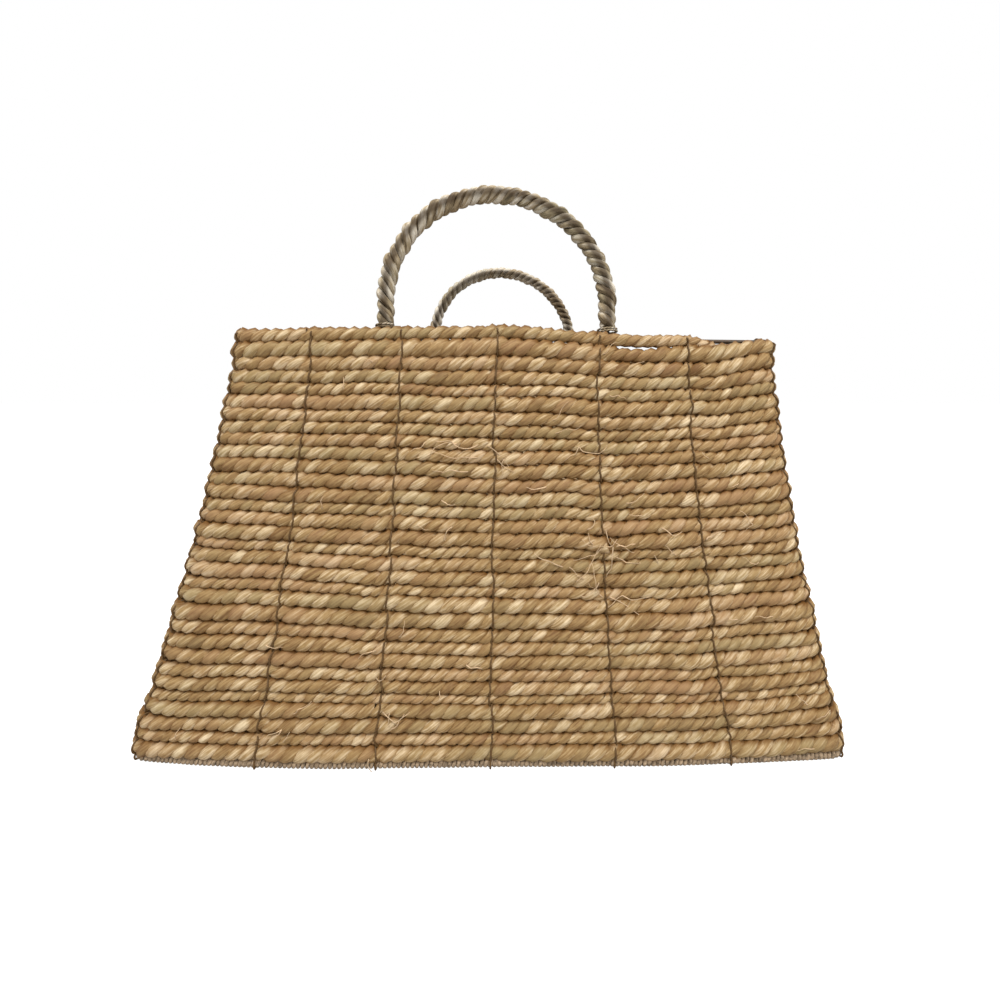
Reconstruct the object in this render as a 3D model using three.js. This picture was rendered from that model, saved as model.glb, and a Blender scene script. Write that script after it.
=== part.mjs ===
// Magazine basket: seagrass rope wound round a wire frame, with two wire-cored hoop handles.
// Millimetres, +Z up, +X to the right of the front, +Y to the back.
// The origin lies on the floor, at the middle of the base.
import * as THREE from 'three';

// Outer size over the rope at the lowest and the highest course, measured at the corners
const baseWidth = 488;
const baseDepth = 331;
const rimWidth = 371;
const rimDepth = 272;
// The hand-made wall leans a little to the right, so its rim stands off the middle of the base
const rimShift = 10;
// The long walls and the end walls swell outwards at the base and run straight at the rim
const longWallBow = 7;
const endWallBow = 5;
const bowFlatShare = 0.37;
// Middle line of a course where it goes round a corner post
const cornerRadius = 11;
const cornerStepDegrees = 45;

// Wound rope of the walls
const courseCount = 32;
const ropeDiameter = 8.4;
const courseGap = 0.55;
const ropeSides = 6;
// Where the first length of rope ends and the next one starts, in courses from the floor
const spliceCourse = 16;
const spliceShare = bowFlatShare;
const spliceGap = 0.5;
// The last course stops on the front, to the right of the middle, and the one below rises to the rim
const lastCourseEndShare = 0.78;
const climbStartShare = 0.8;
const frontCornerClimbShares = { lowest: 0.15, highest: 0.55 };
const rightEndClimbShares = { lowest: 0.3, highest: 0.8 };

// Base rail: a wire ring whipped with thin cord, cut flat underneath
const railDiameter = 6;
const railFlatDepth = 0.5;
const whippingSteps = 4;

// Wires of the welded frame
const rimWireDiameter = 3;
const baseWireDiameter = 3;
const postDiameter = 3;
const stakeDiameter = 2.6;
const crossWireDiameter = 2.6;
const rimWireRise = 3.5;
const wireSides = 6;

// Clearances: between pieces that touch, between the rope and the stakes, and round the threads
const seatGap = 0.3;
const ropeToStakeGap = 0.6;
const threadGap = 0.3;

// Seams, as shares of the straight part of each wall from its middle
const longSeamBaseShares = [-0.67, -0.325, 0, 0.355, 0.695];
const longSeamRimShares = [-0.755, -0.405, -0.035, 0.365, 0.715];
const endSeamShares = [-0.36, 0.36];

// Binding thread
const threadDiameter = 1.6;
const threadSides = 4;
// How far the thread sinks between two pairs of courses, as a share of the rope's radius
const threadDipShare = 0.42;
// Where the thread leaves the base rail and where it ends on the rim wire, up from straight outwards
const threadStartDegrees = 45;
const threadHookDegrees = 70;

// Mat of the base
const matThickness = 8.4;

// Handles: a wire hoop with rope round it, and a cord wrap at each foot
const handleWidth = 156;
const handleRise = 96.5;
const handleShift = 4;
const handleWireDiameter = 3;
const handleRopeDiameter = 11.8;
const handleLegBelowRim = 40;
const handleFootGap = 0.4;
const handleSteps = 22;
const handleSides = 8;
const handleBoreSides = 6;
const wrapCordDiameter = 2.6;
const wrapLoops = 2;
const wrapStepsPerLoop = 10;
const wrapLoopGap = 0.5;
const wrapSides = 4;
const wrapLift = 1;

// Derived sizes
const ropeRadius = ropeDiameter / 2;
const railRadius = railDiameter / 2;
const railZ = railRadius - railFlatDepth;
const stakeRadius = stakeDiameter / 2;
const postRadius = postDiameter / 2;
const stakeInset = ropeRadius + ropeToStakeGap + stakeRadius;
const lowestCourseZ = railZ + railRadius + seatGap + ropeRadius;
const wallSlant = (courseCount - 1) * (ropeDiameter + courseGap);
const wallInset = (baseDepth - rimDepth) / 2;
const wallRise = Math.sqrt(wallSlant ** 2 - wallInset ** 2);
const rimWireZ = lowestCourseZ + wallRise + rimWireRise;
const lean = Math.atan2(wallInset, wallRise);
const handleInset = stakeInset + rimWireDiameter / 2 + seatGap + handleWireDiameter / 2;

const materials = {
  seagrass: { color: '#b9935f', roughness: 0.85, metalness: 0 },
  handleRope: { color: '#8c7b62', roughness: 0.85, metalness: 0 },
  whipping: { color: '#7a6a58', roughness: 0.9, metalness: 0 },
  thread: { color: '#2a211c', roughness: 0.8, metalness: 0 },
  wire: { color: '#3d3a34', roughness: 0.5, metalness: 0.9 },
};

const basket = new THREE.Group();

function addNode(name, geometry, material) {
  const mesh = new THREE.Mesh(geometry, new THREE.MeshStandardMaterial(material));
  mesh.name = name;
  basket.add(mesh);
  return mesh;
}

const lerp = THREE.MathUtils.lerp;
const up = new THREE.Vector3(0, 0, 1);

// Plan of the wall at a height: half sizes of the rope's middle line and the swell of each wall
function planAt(z) {
  const share = (z - lowestCourseZ) / wallRise;
  return {
    middle: rimShift * share,
    halfWidth: lerp(baseWidth, rimWidth, share) / 2 - ropeRadius,
    halfDepth: lerp(baseDepth, rimDepth, share) / 2 - ropeRadius,
    longBow: longWallBow * (1 - share),
    endBow: endWallBow * (1 - share),
  };
}

// Swell at a share of a wall's straight part: flat in the middle, falling to zero at the corners
function swell(share) {
  return THREE.MathUtils.clamp((1 - Math.abs(share)) / (1 - bowFlatShare), 0, 1);
}

// A place on the wall, given by its wall and a share along that wall's straight part,
// or by a corner and an angle round it; inset moves it inwards from the rope's middle line
function placeOnWall(place, z, inset = 0) {
  const plan = planAt(z);
  const straightX = plan.halfWidth - cornerRadius;
  const straightY = plan.halfDepth - cornerRadius;
  if (place.corner) {
    const [sideX, sideY] = place.corner;
    const angle = THREE.MathUtils.degToRad(place.degrees);
    const radius = cornerRadius - inset;
    return new THREE.Vector3(
      plan.middle + sideX * straightX + radius * Math.cos(angle),
      sideY * straightY + radius * Math.sin(angle),
      z,
    );
  }
  const bulge = swell(place.share);
  if (place.wall === 'front' || place.wall === 'back') {
    const side = place.wall === 'front' ? -1 : 1;
    return new THREE.Vector3(
      plan.middle + place.share * straightX,
      side * (plan.halfDepth + plan.longBow * bulge - inset),
      z,
    );
  }
  const side = place.wall === 'left' ? -1 : 1;
  return new THREE.Vector3(
    plan.middle + side * (plan.halfWidth + plan.endBow * bulge - inset),
    place.share * straightY,
    z,
  );
}

function outwardAt(place) {
  if (place.corner) {
    const angle = THREE.MathUtils.degToRad(place.degrees);
    return new THREE.Vector3(Math.cos(angle), Math.sin(angle), 0);
  }
  const directions = { front: [0, -1, 0], back: [0, 1, 0], left: [-1, 0, 0], right: [1, 0, 0] };
  return new THREE.Vector3(...directions[place.wall]);
}

// The rounded corners, each from where its arc starts; the wound rope climbs past the front right one
const corners = {
  back_right: { sides: [1, 1], firstDegrees: 0 },
  back_left: { sides: [-1, 1], firstDegrees: 90 },
  front_left: { sides: [-1, -1], firstDegrees: 180 },
  front_right: { sides: [1, -1], firstDegrees: 270, climb: 'corner' },
};

function cornerPlaces(name) {
  const { sides, firstDegrees, climb } = corners[name];
  return [0, 1, 2].map((step) => (
    { corner: sides, degrees: firstDegrees + step * cornerStepDegrees, climb }
  ));
}

// Once round the wall, against the clock seen from above, from the back right corner
const roundPlaces = [
  ...cornerPlaces('back_right'),
  { wall: 'back', share: bowFlatShare },
  { wall: 'back', share: -bowFlatShare },
  ...cornerPlaces('back_left'),
  { wall: 'left', share: bowFlatShare },
  { wall: 'left', share: -bowFlatShare },
  ...cornerPlaces('front_left'),
  { wall: 'front', share: -bowFlatShare },
  { wall: 'front', share: bowFlatShare },
  { wall: 'front', share: climbStartShare, climb: 'start' },
  ...cornerPlaces('front_right'),
  { wall: 'right', share: -bowFlatShare, climb: 'end' },
  { wall: 'right', share: bowFlatShare, climb: 'end' },
];

// A course keeps its level until the climb starts, and rises one course by the back right corner;
// the top course has ended by then, so the one below it climbs highest
const highestClimbingCourse = courseCount - 2;

function climbOf(place, course) {
  const climbShares = { corner: frontCornerClimbShares, end: rightEndClimbShares }[place.climb];
  if (!climbShares) return 0;
  return lerp(climbShares.lowest, climbShares.highest, course / highestClimbingCourse);
}

function courseZ(place, course) {
  return lowestCourseZ + (wallRise * (course + climbOf(place, course))) / (courseCount - 1);
}

// Ring of a swept section at one point, stretched in the bend so that the tube keeps its width
function sectionRing(point, before, after, reference, section) {
  const normal = before.clone().add(after).normalize();
  const v = reference.clone().addScaledVector(normal, -reference.dot(normal)).normalize();
  const u = v.clone().cross(normal);
  const bend = after.clone().sub(before);
  const bendAngle = before.angleTo(after);
  const stretch = 1 / Math.cos(bendAngle / 2) - 1;
  if (bendAngle > 0) bend.normalize();
  return section.map(([x, y]) => {
    const offset = u.clone().multiplyScalar(x).addScaledVector(v, y);
    offset.addScaledVector(bend, offset.dot(bend) * stretch);
    return point.clone().add(offset);
  });
}

// A section, drawn against the clock, swept along points with mitred bends
function sweep(points, section, reference, closed = false) {
  const count = points.length;
  const directions = points.map((point, i) => points[(i + 1) % count].clone().sub(point).normalize());
  const rings = points.map((point, i) => {
    const after = closed || i < count - 1 ? directions[i] : directions[i - 1];
    const before = closed || i > 0 ? directions[(i + count - 1) % count] : directions[i];
    return sectionRing(point, before, after, reference, section);
  });
  const sides = section.length;
  const vertices = rings.flat().flatMap((vertex) => vertex.toArray());
  const faces = [];
  const lastRing = closed ? count : count - 1;
  for (let i = 0; i < lastRing; i += 1) {
    for (let j = 0; j < sides; j += 1) {
      const a = i * sides + j;
      const b = i * sides + ((j + 1) % sides);
      const next = ((i + 1) % count) * sides;
      const c = next + ((j + 1) % sides);
      const d = next + j;
      faces.push(a, b, c, a, c, d);
    }
  }
  if (!closed) {
    const end = (count - 1) * sides;
    for (let j = 1; j < sides - 1; j += 1) {
      faces.push(0, j + 1, j);
      faces.push(end, end + j, end + j + 1);
    }
  }
  const geometry = new THREE.BufferGeometry();
  geometry.setAttribute('position', new THREE.Float32BufferAttribute(vertices, 3));
  geometry.setIndex(faces);
  geometry.computeVertexNormals();
  return geometry;
}

function roundSection(radius, sides) {
  return Array.from({ length: sides }, (_, i) => {
    const angle = (2 * Math.PI * i) / sides;
    return [radius * Math.cos(angle), radius * Math.sin(angle)];
  });
}

// The wound rope: one run of points from a start to an end, round and round the wall
function windingPoints(firstCourse, lastCourse, startsAtSplice) {
  const points = [];
  const splice = roundPlaces.findIndex((place) => place.wall === 'front' && place.share === spliceShare);
  for (let course = firstCourse; course <= lastCourse; course += 1) {
    roundPlaces.forEach((place, i) => {
      const beforeStart = startsAtSplice && course === firstCourse && i < splice;
      const pastEnd = course === lastCourse && i > splice;
      if (!beforeStart && !pastEnd) points.push(placeOnWall(place, courseZ(place, course)));
    });
  }
  return points;
}

const lowerPoints = windingPoints(0, spliceCourse, false);
const upperPoints = windingPoints(spliceCourse, courseCount - 1, true);
const lastPlace = { wall: 'front', share: lastCourseEndShare };
upperPoints.push(placeOnWall(lastPlace, courseZ(lastPlace, courseCount - 1)));
// The two ends stand face to face at the splice, with a small gap between them
lowerPoints.at(-1).x -= spliceGap / 2;
upperPoints[0].x += spliceGap / 2;

const ropeSection = roundSection(ropeRadius, ropeSides);
addNode('wall_rope_lower', sweep(lowerPoints, ropeSection, up), materials.seagrass);
addNode('wall_rope_upper', sweep(upperPoints, ropeSection, up), materials.seagrass);

// Least gap of a winding to itself, between places more than a few diameters apart along it
function leastGap(points, diameter) {
  const step = diameter / 2;
  const samples = [];
  let run = 0;
  points.slice(0, -1).forEach((point, i) => {
    const length = point.distanceTo(points[i + 1]);
    const pieces = Math.ceil(length / step);
    for (let j = 0; j < pieces; j += 1) {
      samples.push({ at: point.clone().lerp(points[i + 1], j / pieces), run: run + (length * j) / pieces });
    }
    run += length;
  });
  let least = Infinity;
  samples.forEach((one, i) => {
    for (let j = i + 1; j < samples.length; j += 1) {
      if (samples[j].run - one.run > diameter * Math.PI) {
        least = Math.min(least, one.at.distanceToSquared(samples[j].at));
      }
    }
  });
  return Math.sqrt(least) - diameter;
}

const runsUnderClimb = (place) => place.wall === 'right' || place.climb === 'corner';
const coursesAt = (place) => (runsUnderClimb(place) ? courseCount - 1 : courseCount);

// Wire rings of the frame: the rim wire inside the top course, the base wire under the lowest
function ringPoints(z, inset) {
  const places = roundPlaces.filter((place) => place.climb !== 'start');
  return places.map((place) => placeOnWall(place, z, inset));
}

const rimWireSection = roundSection(rimWireDiameter / 2, wireSides);
addNode('rim_wire', sweep(ringPoints(rimWireZ, stakeInset), rimWireSection, up, true), materials.wire);
const baseWireSection = roundSection(baseWireDiameter / 2, wireSides);
addNode('base_wire', sweep(ringPoints(railZ, 0), baseWireSection, up, true), materials.wire);

// Whipping round the base wire: a sleeve with a flat foot, open inwards where the stakes are welded
function whippingSection() {
  const flatAngle = Math.asin((railRadius - railFlatDepth) / railRadius);
  const lip = Math.PI - flatAngle;
  const arc = (radius, from, to, steps) => Array.from({ length: steps + 1 }, (_, i) => {
    const angle = lerp(from, to, i / steps);
    return [-radius * Math.cos(angle), radius * Math.sin(angle)];
  });
  const foot = arc(railRadius, -lip, -flatAngle, 1);
  const outer = [...foot, ...arc(railRadius, 0, lip, whippingSteps - 1)];
  const inner = arc(baseWireDiameter / 2 + seatGap, lip, -lip, whippingSteps);
  // The sleeve's outside lies on the far side of the ring's first axis, so its outline runs backwards
  return [...outer, ...inner].reverse();
}

addNode('base_whipping', sweep(ringPoints(railZ, 0), whippingSection(), up, true), materials.whipping);

// A mitred bend reaches this much further out at its middle than the straight tube does
const cornerBend = THREE.MathUtils.degToRad(cornerStepDegrees);
const reachStretch = (place) => (place.corner ? 1 / Math.cos(cornerBend / 2) : 1);

// An upright of the frame: from under the rim wire down the inside of the rope, with a foot
// that turns outwards and is welded to the base wire
function uprightGeometry(basePlace, rimPlace, diameter) {
  const top = placeOnWall(rimPlace, rimWireZ - rimWireDiameter / 2 - seatGap, stakeInset);
  const bend = placeOnWall(basePlace, railZ, stakeInset);
  // Inside a corner the ring's two sides come towards the foot's edges
  const cornerRelief = basePlace.corner ? (diameter / 2) * Math.tan(cornerBend / 2) : 0;
  const footInset = (baseWireDiameter / 2) * reachStretch(basePlace) + cornerRelief + seatGap;
  const foot = placeOnWall(basePlace, railZ, footInset);
  const along = outwardAt(basePlace).cross(up);
  return sweep([top, bend, foot], roundSection(diameter / 2, wireSides), along);
}

// Binding thread of one seam: from the base rail over the lowest course, then over two courses
// at a time with a dip between the pairs, and over the top course to hook on the rim wire
function threadPoints(basePlace, rimPlace) {
  const courses = coursesAt(basePlace);
  const stretch = reachStretch(basePlace);
  const threadRadius = threadDiameter / 2;
  const reach = ropeRadius * stretch + threadGap + threadRadius;
  const rows = Array.from({ length: courses }, (_, course) => {
    const share = course / (courseCount - 1);
    const place = basePlace.corner
      ? basePlace
      : { ...basePlace, share: lerp(basePlace.share, rimPlace.share, share) };
    return placeOnWall(place, courseZ(place, course));
  });
  const t = rows.at(-1).clone().sub(rows[0]).normalize();
  const outward = outwardAt(basePlace);
  const n = outward.clone().addScaledVector(t, -outward.dot(t)).normalize();
  const local = (point, row) => {
    const offset = point.clone().sub(row);
    return new THREE.Vector2(offset.dot(n), offset.dot(t));
  };
  const between = (course, offset) =>
    rows[course].clone().lerp(rows[course + 1], 0.5).addScaledVector(n, offset);
  const dip = threadDipShare * ropeRadius;
  const halfPitch = rows[1].distanceTo(rows[2]) / 2;
  const meanOffset = reach * Math.hypot(1, dip / (2 * halfPitch));
  // The vertex that carries the thread round one course between the points before and after it
  const roundCourse = (course, before, after) => {
    const a = local(before, rows[course]);
    const b = local(after, rows[course]);
    const from = Math.atan2(a.y, a.x) + Math.acos(reach / a.length());
    const to = Math.atan2(b.y, b.x) - Math.acos(reach / b.length());
    const radius = reach / Math.cos((to - from) / 2);
    const angle = (from + to) / 2;
    return rows[course].clone().addScaledVector(n, radius * Math.cos(angle))
      .addScaledVector(t, radius * Math.sin(angle));
  };
  // A point of the thread beside a ring of the frame, at an angle up from straight outwards
  const besideRing = (centre, ringRadius, degrees) => {
    const distance = ringRadius * stretch + threadGap + threadRadius;
    const angle = THREE.MathUtils.degToRad(degrees);
    return centre.addScaledVector(outward, distance * Math.cos(angle))
      .addScaledVector(up, distance * Math.sin(angle));
  };
  const start = besideRing(placeOnWall(basePlace, railZ), railRadius, threadStartDegrees);
  const rimCentre = placeOnWall(rimPlace, rimWireZ, stakeInset);
  const hook = besideRing(rimCentre, rimWireDiameter / 2, threadHookDegrees);
  const middle = [];
  for (let course = 0; course < courses - 1; course += 1) {
    const isDip = course % 2 === 0;
    middle.push(between(course, meanOffset + (isDip ? -dip : dip) / 2));
  }
  return [
    start,
    roundCourse(0, start, middle[0]),
    ...middle,
    roundCourse(courses - 1, middle.at(-1), hook),
    hook,
  ];
}

function addSeam(name, basePlace, rimPlace) {
  const upright = basePlace.corner ? postDiameter : stakeDiameter;
  const kind = basePlace.corner ? 'corner_post' : 'stake';
  addNode(`${kind}_${name}`, uprightGeometry(basePlace, rimPlace, upright), materials.wire);
  const along = outwardAt(basePlace).cross(up);
  const section = roundSection(threadDiameter / 2, threadSides);
  addNode(`thread_${name}`, sweep(threadPoints(basePlace, rimPlace), section, along), materials.thread);
}

['front', 'back'].forEach((wall) => {
  longSeamBaseShares.forEach((share, i) => {
    addSeam(`${wall}_${i + 1}`, { wall, share }, { wall, share: longSeamRimShares[i] });
  });
});
[['left'], ['right', 'end']].forEach(([wall, climb]) => {
  endSeamShares.forEach((share, i) => {
    const place = { wall, share, climb };
    addSeam(`${wall}_${i + 1}`, place, place);
  });
});
Object.keys(corners).forEach((name) => {
  const middlePlace = cornerPlaces(name)[1];
  addSeam(name, middlePlace, middlePlace);
});

// Wires under the mat, from each front stake's foot to the back one's
const crossRadius = crossWireDiameter / 2;
longSeamBaseShares.forEach((share, i) => {
  const end = placeOnWall({ wall: 'back', share }, railZ, stakeInset + stakeRadius + seatGap);
  const geometry = new THREE.CylinderGeometry(crossRadius, crossRadius, 2 * end.y, wireSides);
  const wire = addNode(`base_cross_wire_${i + 1}`, geometry, materials.wire);
  wire.position.set(end.x, 0, railZ);
});

// Mat of the base: it fills the outline inside the posts and lies on the cross wires
const matBottomZ = railZ + crossRadius + seatGap;
const matOutline = ringPoints(matBottomZ + matThickness, stakeInset + postRadius + seatGap);
const matShape = new THREE.Shape(matOutline.map(({ x, y }) => new THREE.Vector2(x, y)));
const matGeometry = new THREE.ExtrudeGeometry(matShape, { depth: matThickness, bevelEnabled: false });
addNode('base_mat', matGeometry, materials.seagrass).position.z = matBottomZ;

// Middle line of a handle, in the plane of its wall: up one leg, round half a circle, down the other
class HoopCurve extends THREE.Curve {
  constructor(side, legBottom) {
    super();
    this.side = side;
    this.radius = handleWidth / 2;
    this.legTop = handleRise - this.radius;
    this.legLength = this.legTop - legBottom;
    this.length = 2 * this.legLength + Math.PI * this.radius;
  }

  getPoint(share, target = new THREE.Vector3()) {
    const run = share * this.length;
    const arc = THREE.MathUtils.clamp((run - this.legLength) / this.radius, 0, Math.PI);
    const left = Math.max(this.legLength - run, 0);
    const right = Math.max(run - this.legLength - Math.PI * this.radius, 0);
    const along = -this.radius * Math.cos(arc);
    const rise = this.legTop + this.radius * Math.sin(arc) - left - right;
    return target.copy(onHandlePlane(this.side, along, rise));
  }
}

function onHandlePlane(side, along, rise) {
  const foot = planAt(rimWireZ).halfDepth - handleInset;
  return new THREE.Vector3(
    handleShift + along,
    side * (foot - rise * Math.sin(lean)),
    rimWireZ + rise * Math.cos(lean),
  );
}

function hoopGeometry(side, legBottom, radius, sides, boreRadius) {
  const outline = (size, count) => roundSection(size, count).map(([x, y]) => new THREE.Vector2(x, y));
  const shape = new THREE.Shape(outline(radius, sides));
  if (boreRadius) shape.holes.push(new THREE.Path(outline(boreRadius, handleBoreSides)));
  const extrudePath = new HoopCurve(side, legBottom);
  return new THREE.ExtrudeGeometry(shape, { steps: handleSteps, bevelEnabled: false, extrudePath });
}

// Cord wrap round the foot of a handle's rope
function wrapPoints(side, legSide, footRise) {
  const cordRadius = wrapCordDiameter / 2;
  const radius = (handleRopeDiameter / 2 + seatGap + cordRadius) / Math.cos(Math.PI / wrapStepsPerLoop);
  const across = new THREE.Vector3(0, -side * Math.cos(lean), -Math.sin(lean));
  const loopRise = wrapCordDiameter + wrapLoopGap;
  const steps = wrapLoops * wrapStepsPerLoop;
  return Array.from({ length: steps + 1 }, (_, i) => {
    const angle = (2 * Math.PI * i) / wrapStepsPerLoop;
    const rise = footRise + wrapLift + cordRadius + (loopRise * i) / wrapStepsPerLoop;
    const along = (legSide * handleWidth) / 2 + radius * Math.cos(angle);
    return onHandlePlane(side, along, rise).addScaledVector(across, radius * Math.sin(angle));
  });
}

const handleFoot = rimWireDiameter / 2 + handleFootGap;
[['front', -1], ['back', 1]].forEach(([wall, side]) => {
  const wireRadius = handleWireDiameter / 2;
  const wire = hoopGeometry(side, -handleLegBelowRim, wireRadius, wireSides);
  addNode(`${wall}_handle_wire`, wire, materials.wire);
  const boreRadius = (wireRadius + seatGap) / Math.cos(Math.PI / handleBoreSides);
  const rope = hoopGeometry(side, handleFoot, handleRopeDiameter / 2, handleSides, boreRadius);
  addNode(`${wall}_handle_rope`, rope, materials.handleRope);
  const legAxis = new THREE.Vector3(0, -side * Math.sin(lean), Math.cos(lean));
  [['left', -1], ['right', 1]].forEach(([legName, legSide]) => {
    const points = wrapPoints(side, legSide, handleFoot);
    const section = roundSection(wrapCordDiameter / 2, wrapSides);
    addNode(`${wall}_handle_wrap_${legName}`, sweep(points, section, legAxis), materials.handleRope);
  });
});

const windings = [
  ['lower wall rope', lowerPoints, ropeDiameter],
  ['upper wall rope', upperPoints, ropeDiameter],
  ['handle wrap', wrapPoints(1, 1, handleFoot), wrapCordDiameter],
];
windings.forEach(([name, points, diameter]) => {
  console.log(`least gap of the ${name} to itself: ${leastGap(points, diameter).toFixed(2)} mm`);
});

export default basket;
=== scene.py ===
"""Magazine basket of twisted seagrass rope, wound round a wire frame and bound with dark thread."""

import math

import bmesh
import bpy
import numpy as np
from bpy.props import FloatProperty, FloatVectorProperty, IntProperty, PointerProperty
from bpy.types import Operator, Panel, PropertyGroup
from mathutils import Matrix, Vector


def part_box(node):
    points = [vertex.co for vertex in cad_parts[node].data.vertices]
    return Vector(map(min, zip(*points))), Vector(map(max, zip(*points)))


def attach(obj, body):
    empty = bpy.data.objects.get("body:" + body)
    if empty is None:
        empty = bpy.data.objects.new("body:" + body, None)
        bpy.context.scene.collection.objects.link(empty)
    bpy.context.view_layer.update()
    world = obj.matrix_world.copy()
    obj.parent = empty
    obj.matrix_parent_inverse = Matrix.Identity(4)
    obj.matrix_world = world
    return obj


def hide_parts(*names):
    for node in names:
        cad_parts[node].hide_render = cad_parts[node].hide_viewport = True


bl_info = {
    "name": "Magazine basket",
    "version": (1, 0, 0),
    "blender": (4, 5, 0),
    "location": "3D View > Sidebar > Basket",
    "description": "Builds the ropes, threads, wires and finishes of a wound magazine basket",
    "category": "Object",
}

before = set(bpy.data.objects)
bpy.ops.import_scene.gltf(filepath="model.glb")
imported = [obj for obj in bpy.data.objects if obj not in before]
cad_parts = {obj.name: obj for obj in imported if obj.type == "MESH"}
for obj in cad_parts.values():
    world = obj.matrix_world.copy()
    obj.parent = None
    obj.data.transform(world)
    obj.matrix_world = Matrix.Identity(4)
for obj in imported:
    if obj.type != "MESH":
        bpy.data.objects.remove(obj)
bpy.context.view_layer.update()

# Relative heights of the courses from the floor up, uneven as in rope that is twisted by hand
COURSE_HEIGHTS = (
    16, 11, 15, 15, 9, 14, 12, 15, 14, 13, 17, 16, 11, 15, 13, 10,
    16, 14, 12, 15, 14, 15, 13, 12, 12, 13, 16, 11, 14, 14, 17, 13,
)
# The second length of rope takes over in this course, and ends at this share of the front wall
SPLICE_COURSE = 16
ROPE_END = 0.83
# Seams as shares of the straight part of a wall, at the base and at the rim
LONG_SEAMS = ((-0.67, -0.755), (-0.325, -0.405), (0, -0.035), (0.355, 0.365), (0.695, 0.715))
END_SEAMS = (-0.36, 0.36)
# How low the rim hangs along the front, as a share of the full sag
SAG_PLACES = (-1, -0.83, -0.67, -0.38, -0.1, -0.02, 0.08, 0.15, 0.3, 0.54, 0.66, 0.75, 1)
SAG_SHARES = (0.42, 0.28, 0.14, 0, -0.1, -0.28, -0.1, 0.1, 0.56, 1.08, 0.95, 0.88, 0.95)
# How low the courses half way up hang along the front, as a share of the full droop
DROOP_PLACES = (-1, -0.8, -0.55, -0.3, 0, 0.4, 0.75, 1)
DROOP_SHARES = (-0.2, -0.2, 0.4, 0.25, 0.65, 1, 0.75, 0.5)
# Seams whose threads take the other pairs of courses
SHIFTED_SEAMS = ("front_1", "front_3", "front_5")
# Corners by name: the sides of the plan that they join, and the direction outwards in degrees
CORNERS = {
    "back_right": (1, 1, 45),
    "back_left": (-1, 1, 135),
    "front_left": (-1, -1, 231),
    "front_right": (1, -1, 309),
}
# How hand-made rope varies along its run: share, span in metres and seed of each wave
THICKNESS_WAVES = ((0.07, 0.075, 3), (0.05, 0.02, 4))
TWIST_WAVES = ((0.13, 0.045, 7), (0.07, 0.012, 8))
# Loose fibres that stand out: front share, course, count, spread and length
FIBRE_TUFTS = (
    (-0.1, 22, 7, 0.016, 0.028),
    (0.19, 24, 4, 0.012, 0.018),
    (0.33, 12.5, 8, 0.014, 0.026),
    (0.36, 16, 9, 0.01, 0.018),
    (0.6, 15.5, 5, 0.02, 0.018),
    (-0.61, 2, 4, 0.012, 0.016),
    (-0.31, 2.5, 3, 0.01, 0.016),
)
UP = np.array([0, 0, 1.0])
# Keeps a division from meeting zero
TINY = 1e-9


def linear(code):
    """An sRGB hex colour as linear red, green, blue and alpha."""
    parts = [int(code[i : i + 2], 16) / 255 for i in (1, 3, 5)]
    return [p / 12.92 if p <= 0.04045 else ((p + 0.055) / 1.055) ** 2.4 for p in parts] + [1.0]


def length(name, description, default, **limits):
    """A length setting, in metres."""
    return FloatProperty(
        name=name, description=description, default=default, unit="LENGTH", precision=4, **limits
    )


def share(name, description, default):
    """A setting that is a share, from 0 to 1."""
    return FloatProperty(
        name=name, description=description, default=default, min=0, max=1, subtype="FACTOR"
    )


def colour(name, description, code):
    """A colour setting."""
    return FloatVectorProperty(
        name=name,
        description=description,
        default=linear(code),
        size=4,
        min=0,
        max=1,
        subtype="COLOR",
    )


class BasketWallSettings(PropertyGroup):
    """Shape of the wound wall."""

    base_width: length("Base width", "Over the rope of the lowest course", 0.488)
    base_depth: length("Base depth", "Over the rope of the lowest course", 0.331)
    rim_width: length("Rim width", "Over the rope of the top course", 0.371)
    rim_depth: length("Rim depth", "Over the rope of the top course", 0.272)
    rim_shift: length("Rim shift", "How far the rim stands to the right of the base", 0.01)
    long_bow: length("Long wall bow", "Swell of the front and back at the base", 0.007)
    end_bow: length("End wall bow", "Swell of the end walls at the base", 0.005)
    end_waist: length("End waist", "How far the end walls draw in at half height", 0.004)
    end_flare: length("End flare", "How far the end walls flare at the floor and the rim", 0.003)
    rim_sag: length("Rim sag", "How far the rim hangs to the right of the fourth seam", 0.005)
    droop: length("Droop", "How low the courses half way up the front hang", 0.0065)
    corner_forward: length("Corner forward", "How far the front right foot stands out", 0.003)
    rail_tuck: length("Rail tuck", "How far the rail is drawn in at the front left foot", 0.002)
    flat_share: share("Flat share", "Middle part of a wall that runs straight", 0.37)
    corner_radius: length("Corner radius", "Of the rope's middle line", 0.011)
    lowest_height: length("Lowest course", "Height of its middle line", 0.01)
    course_gap: length("Course gap", "Between two courses", 0.00055)
    rope_diameter: length("Rope diameter", "Over both strands", 0.0084)
    rope_fullness: share("Rope fullness", "How much fatter than its course the soft rope is", 0.13)
    rope_lay: length("Rope lay", "Length of one full twist", 0.0162)
    stations: IntProperty(name="Stations", description="Points in one course", default=660, min=200)


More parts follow.
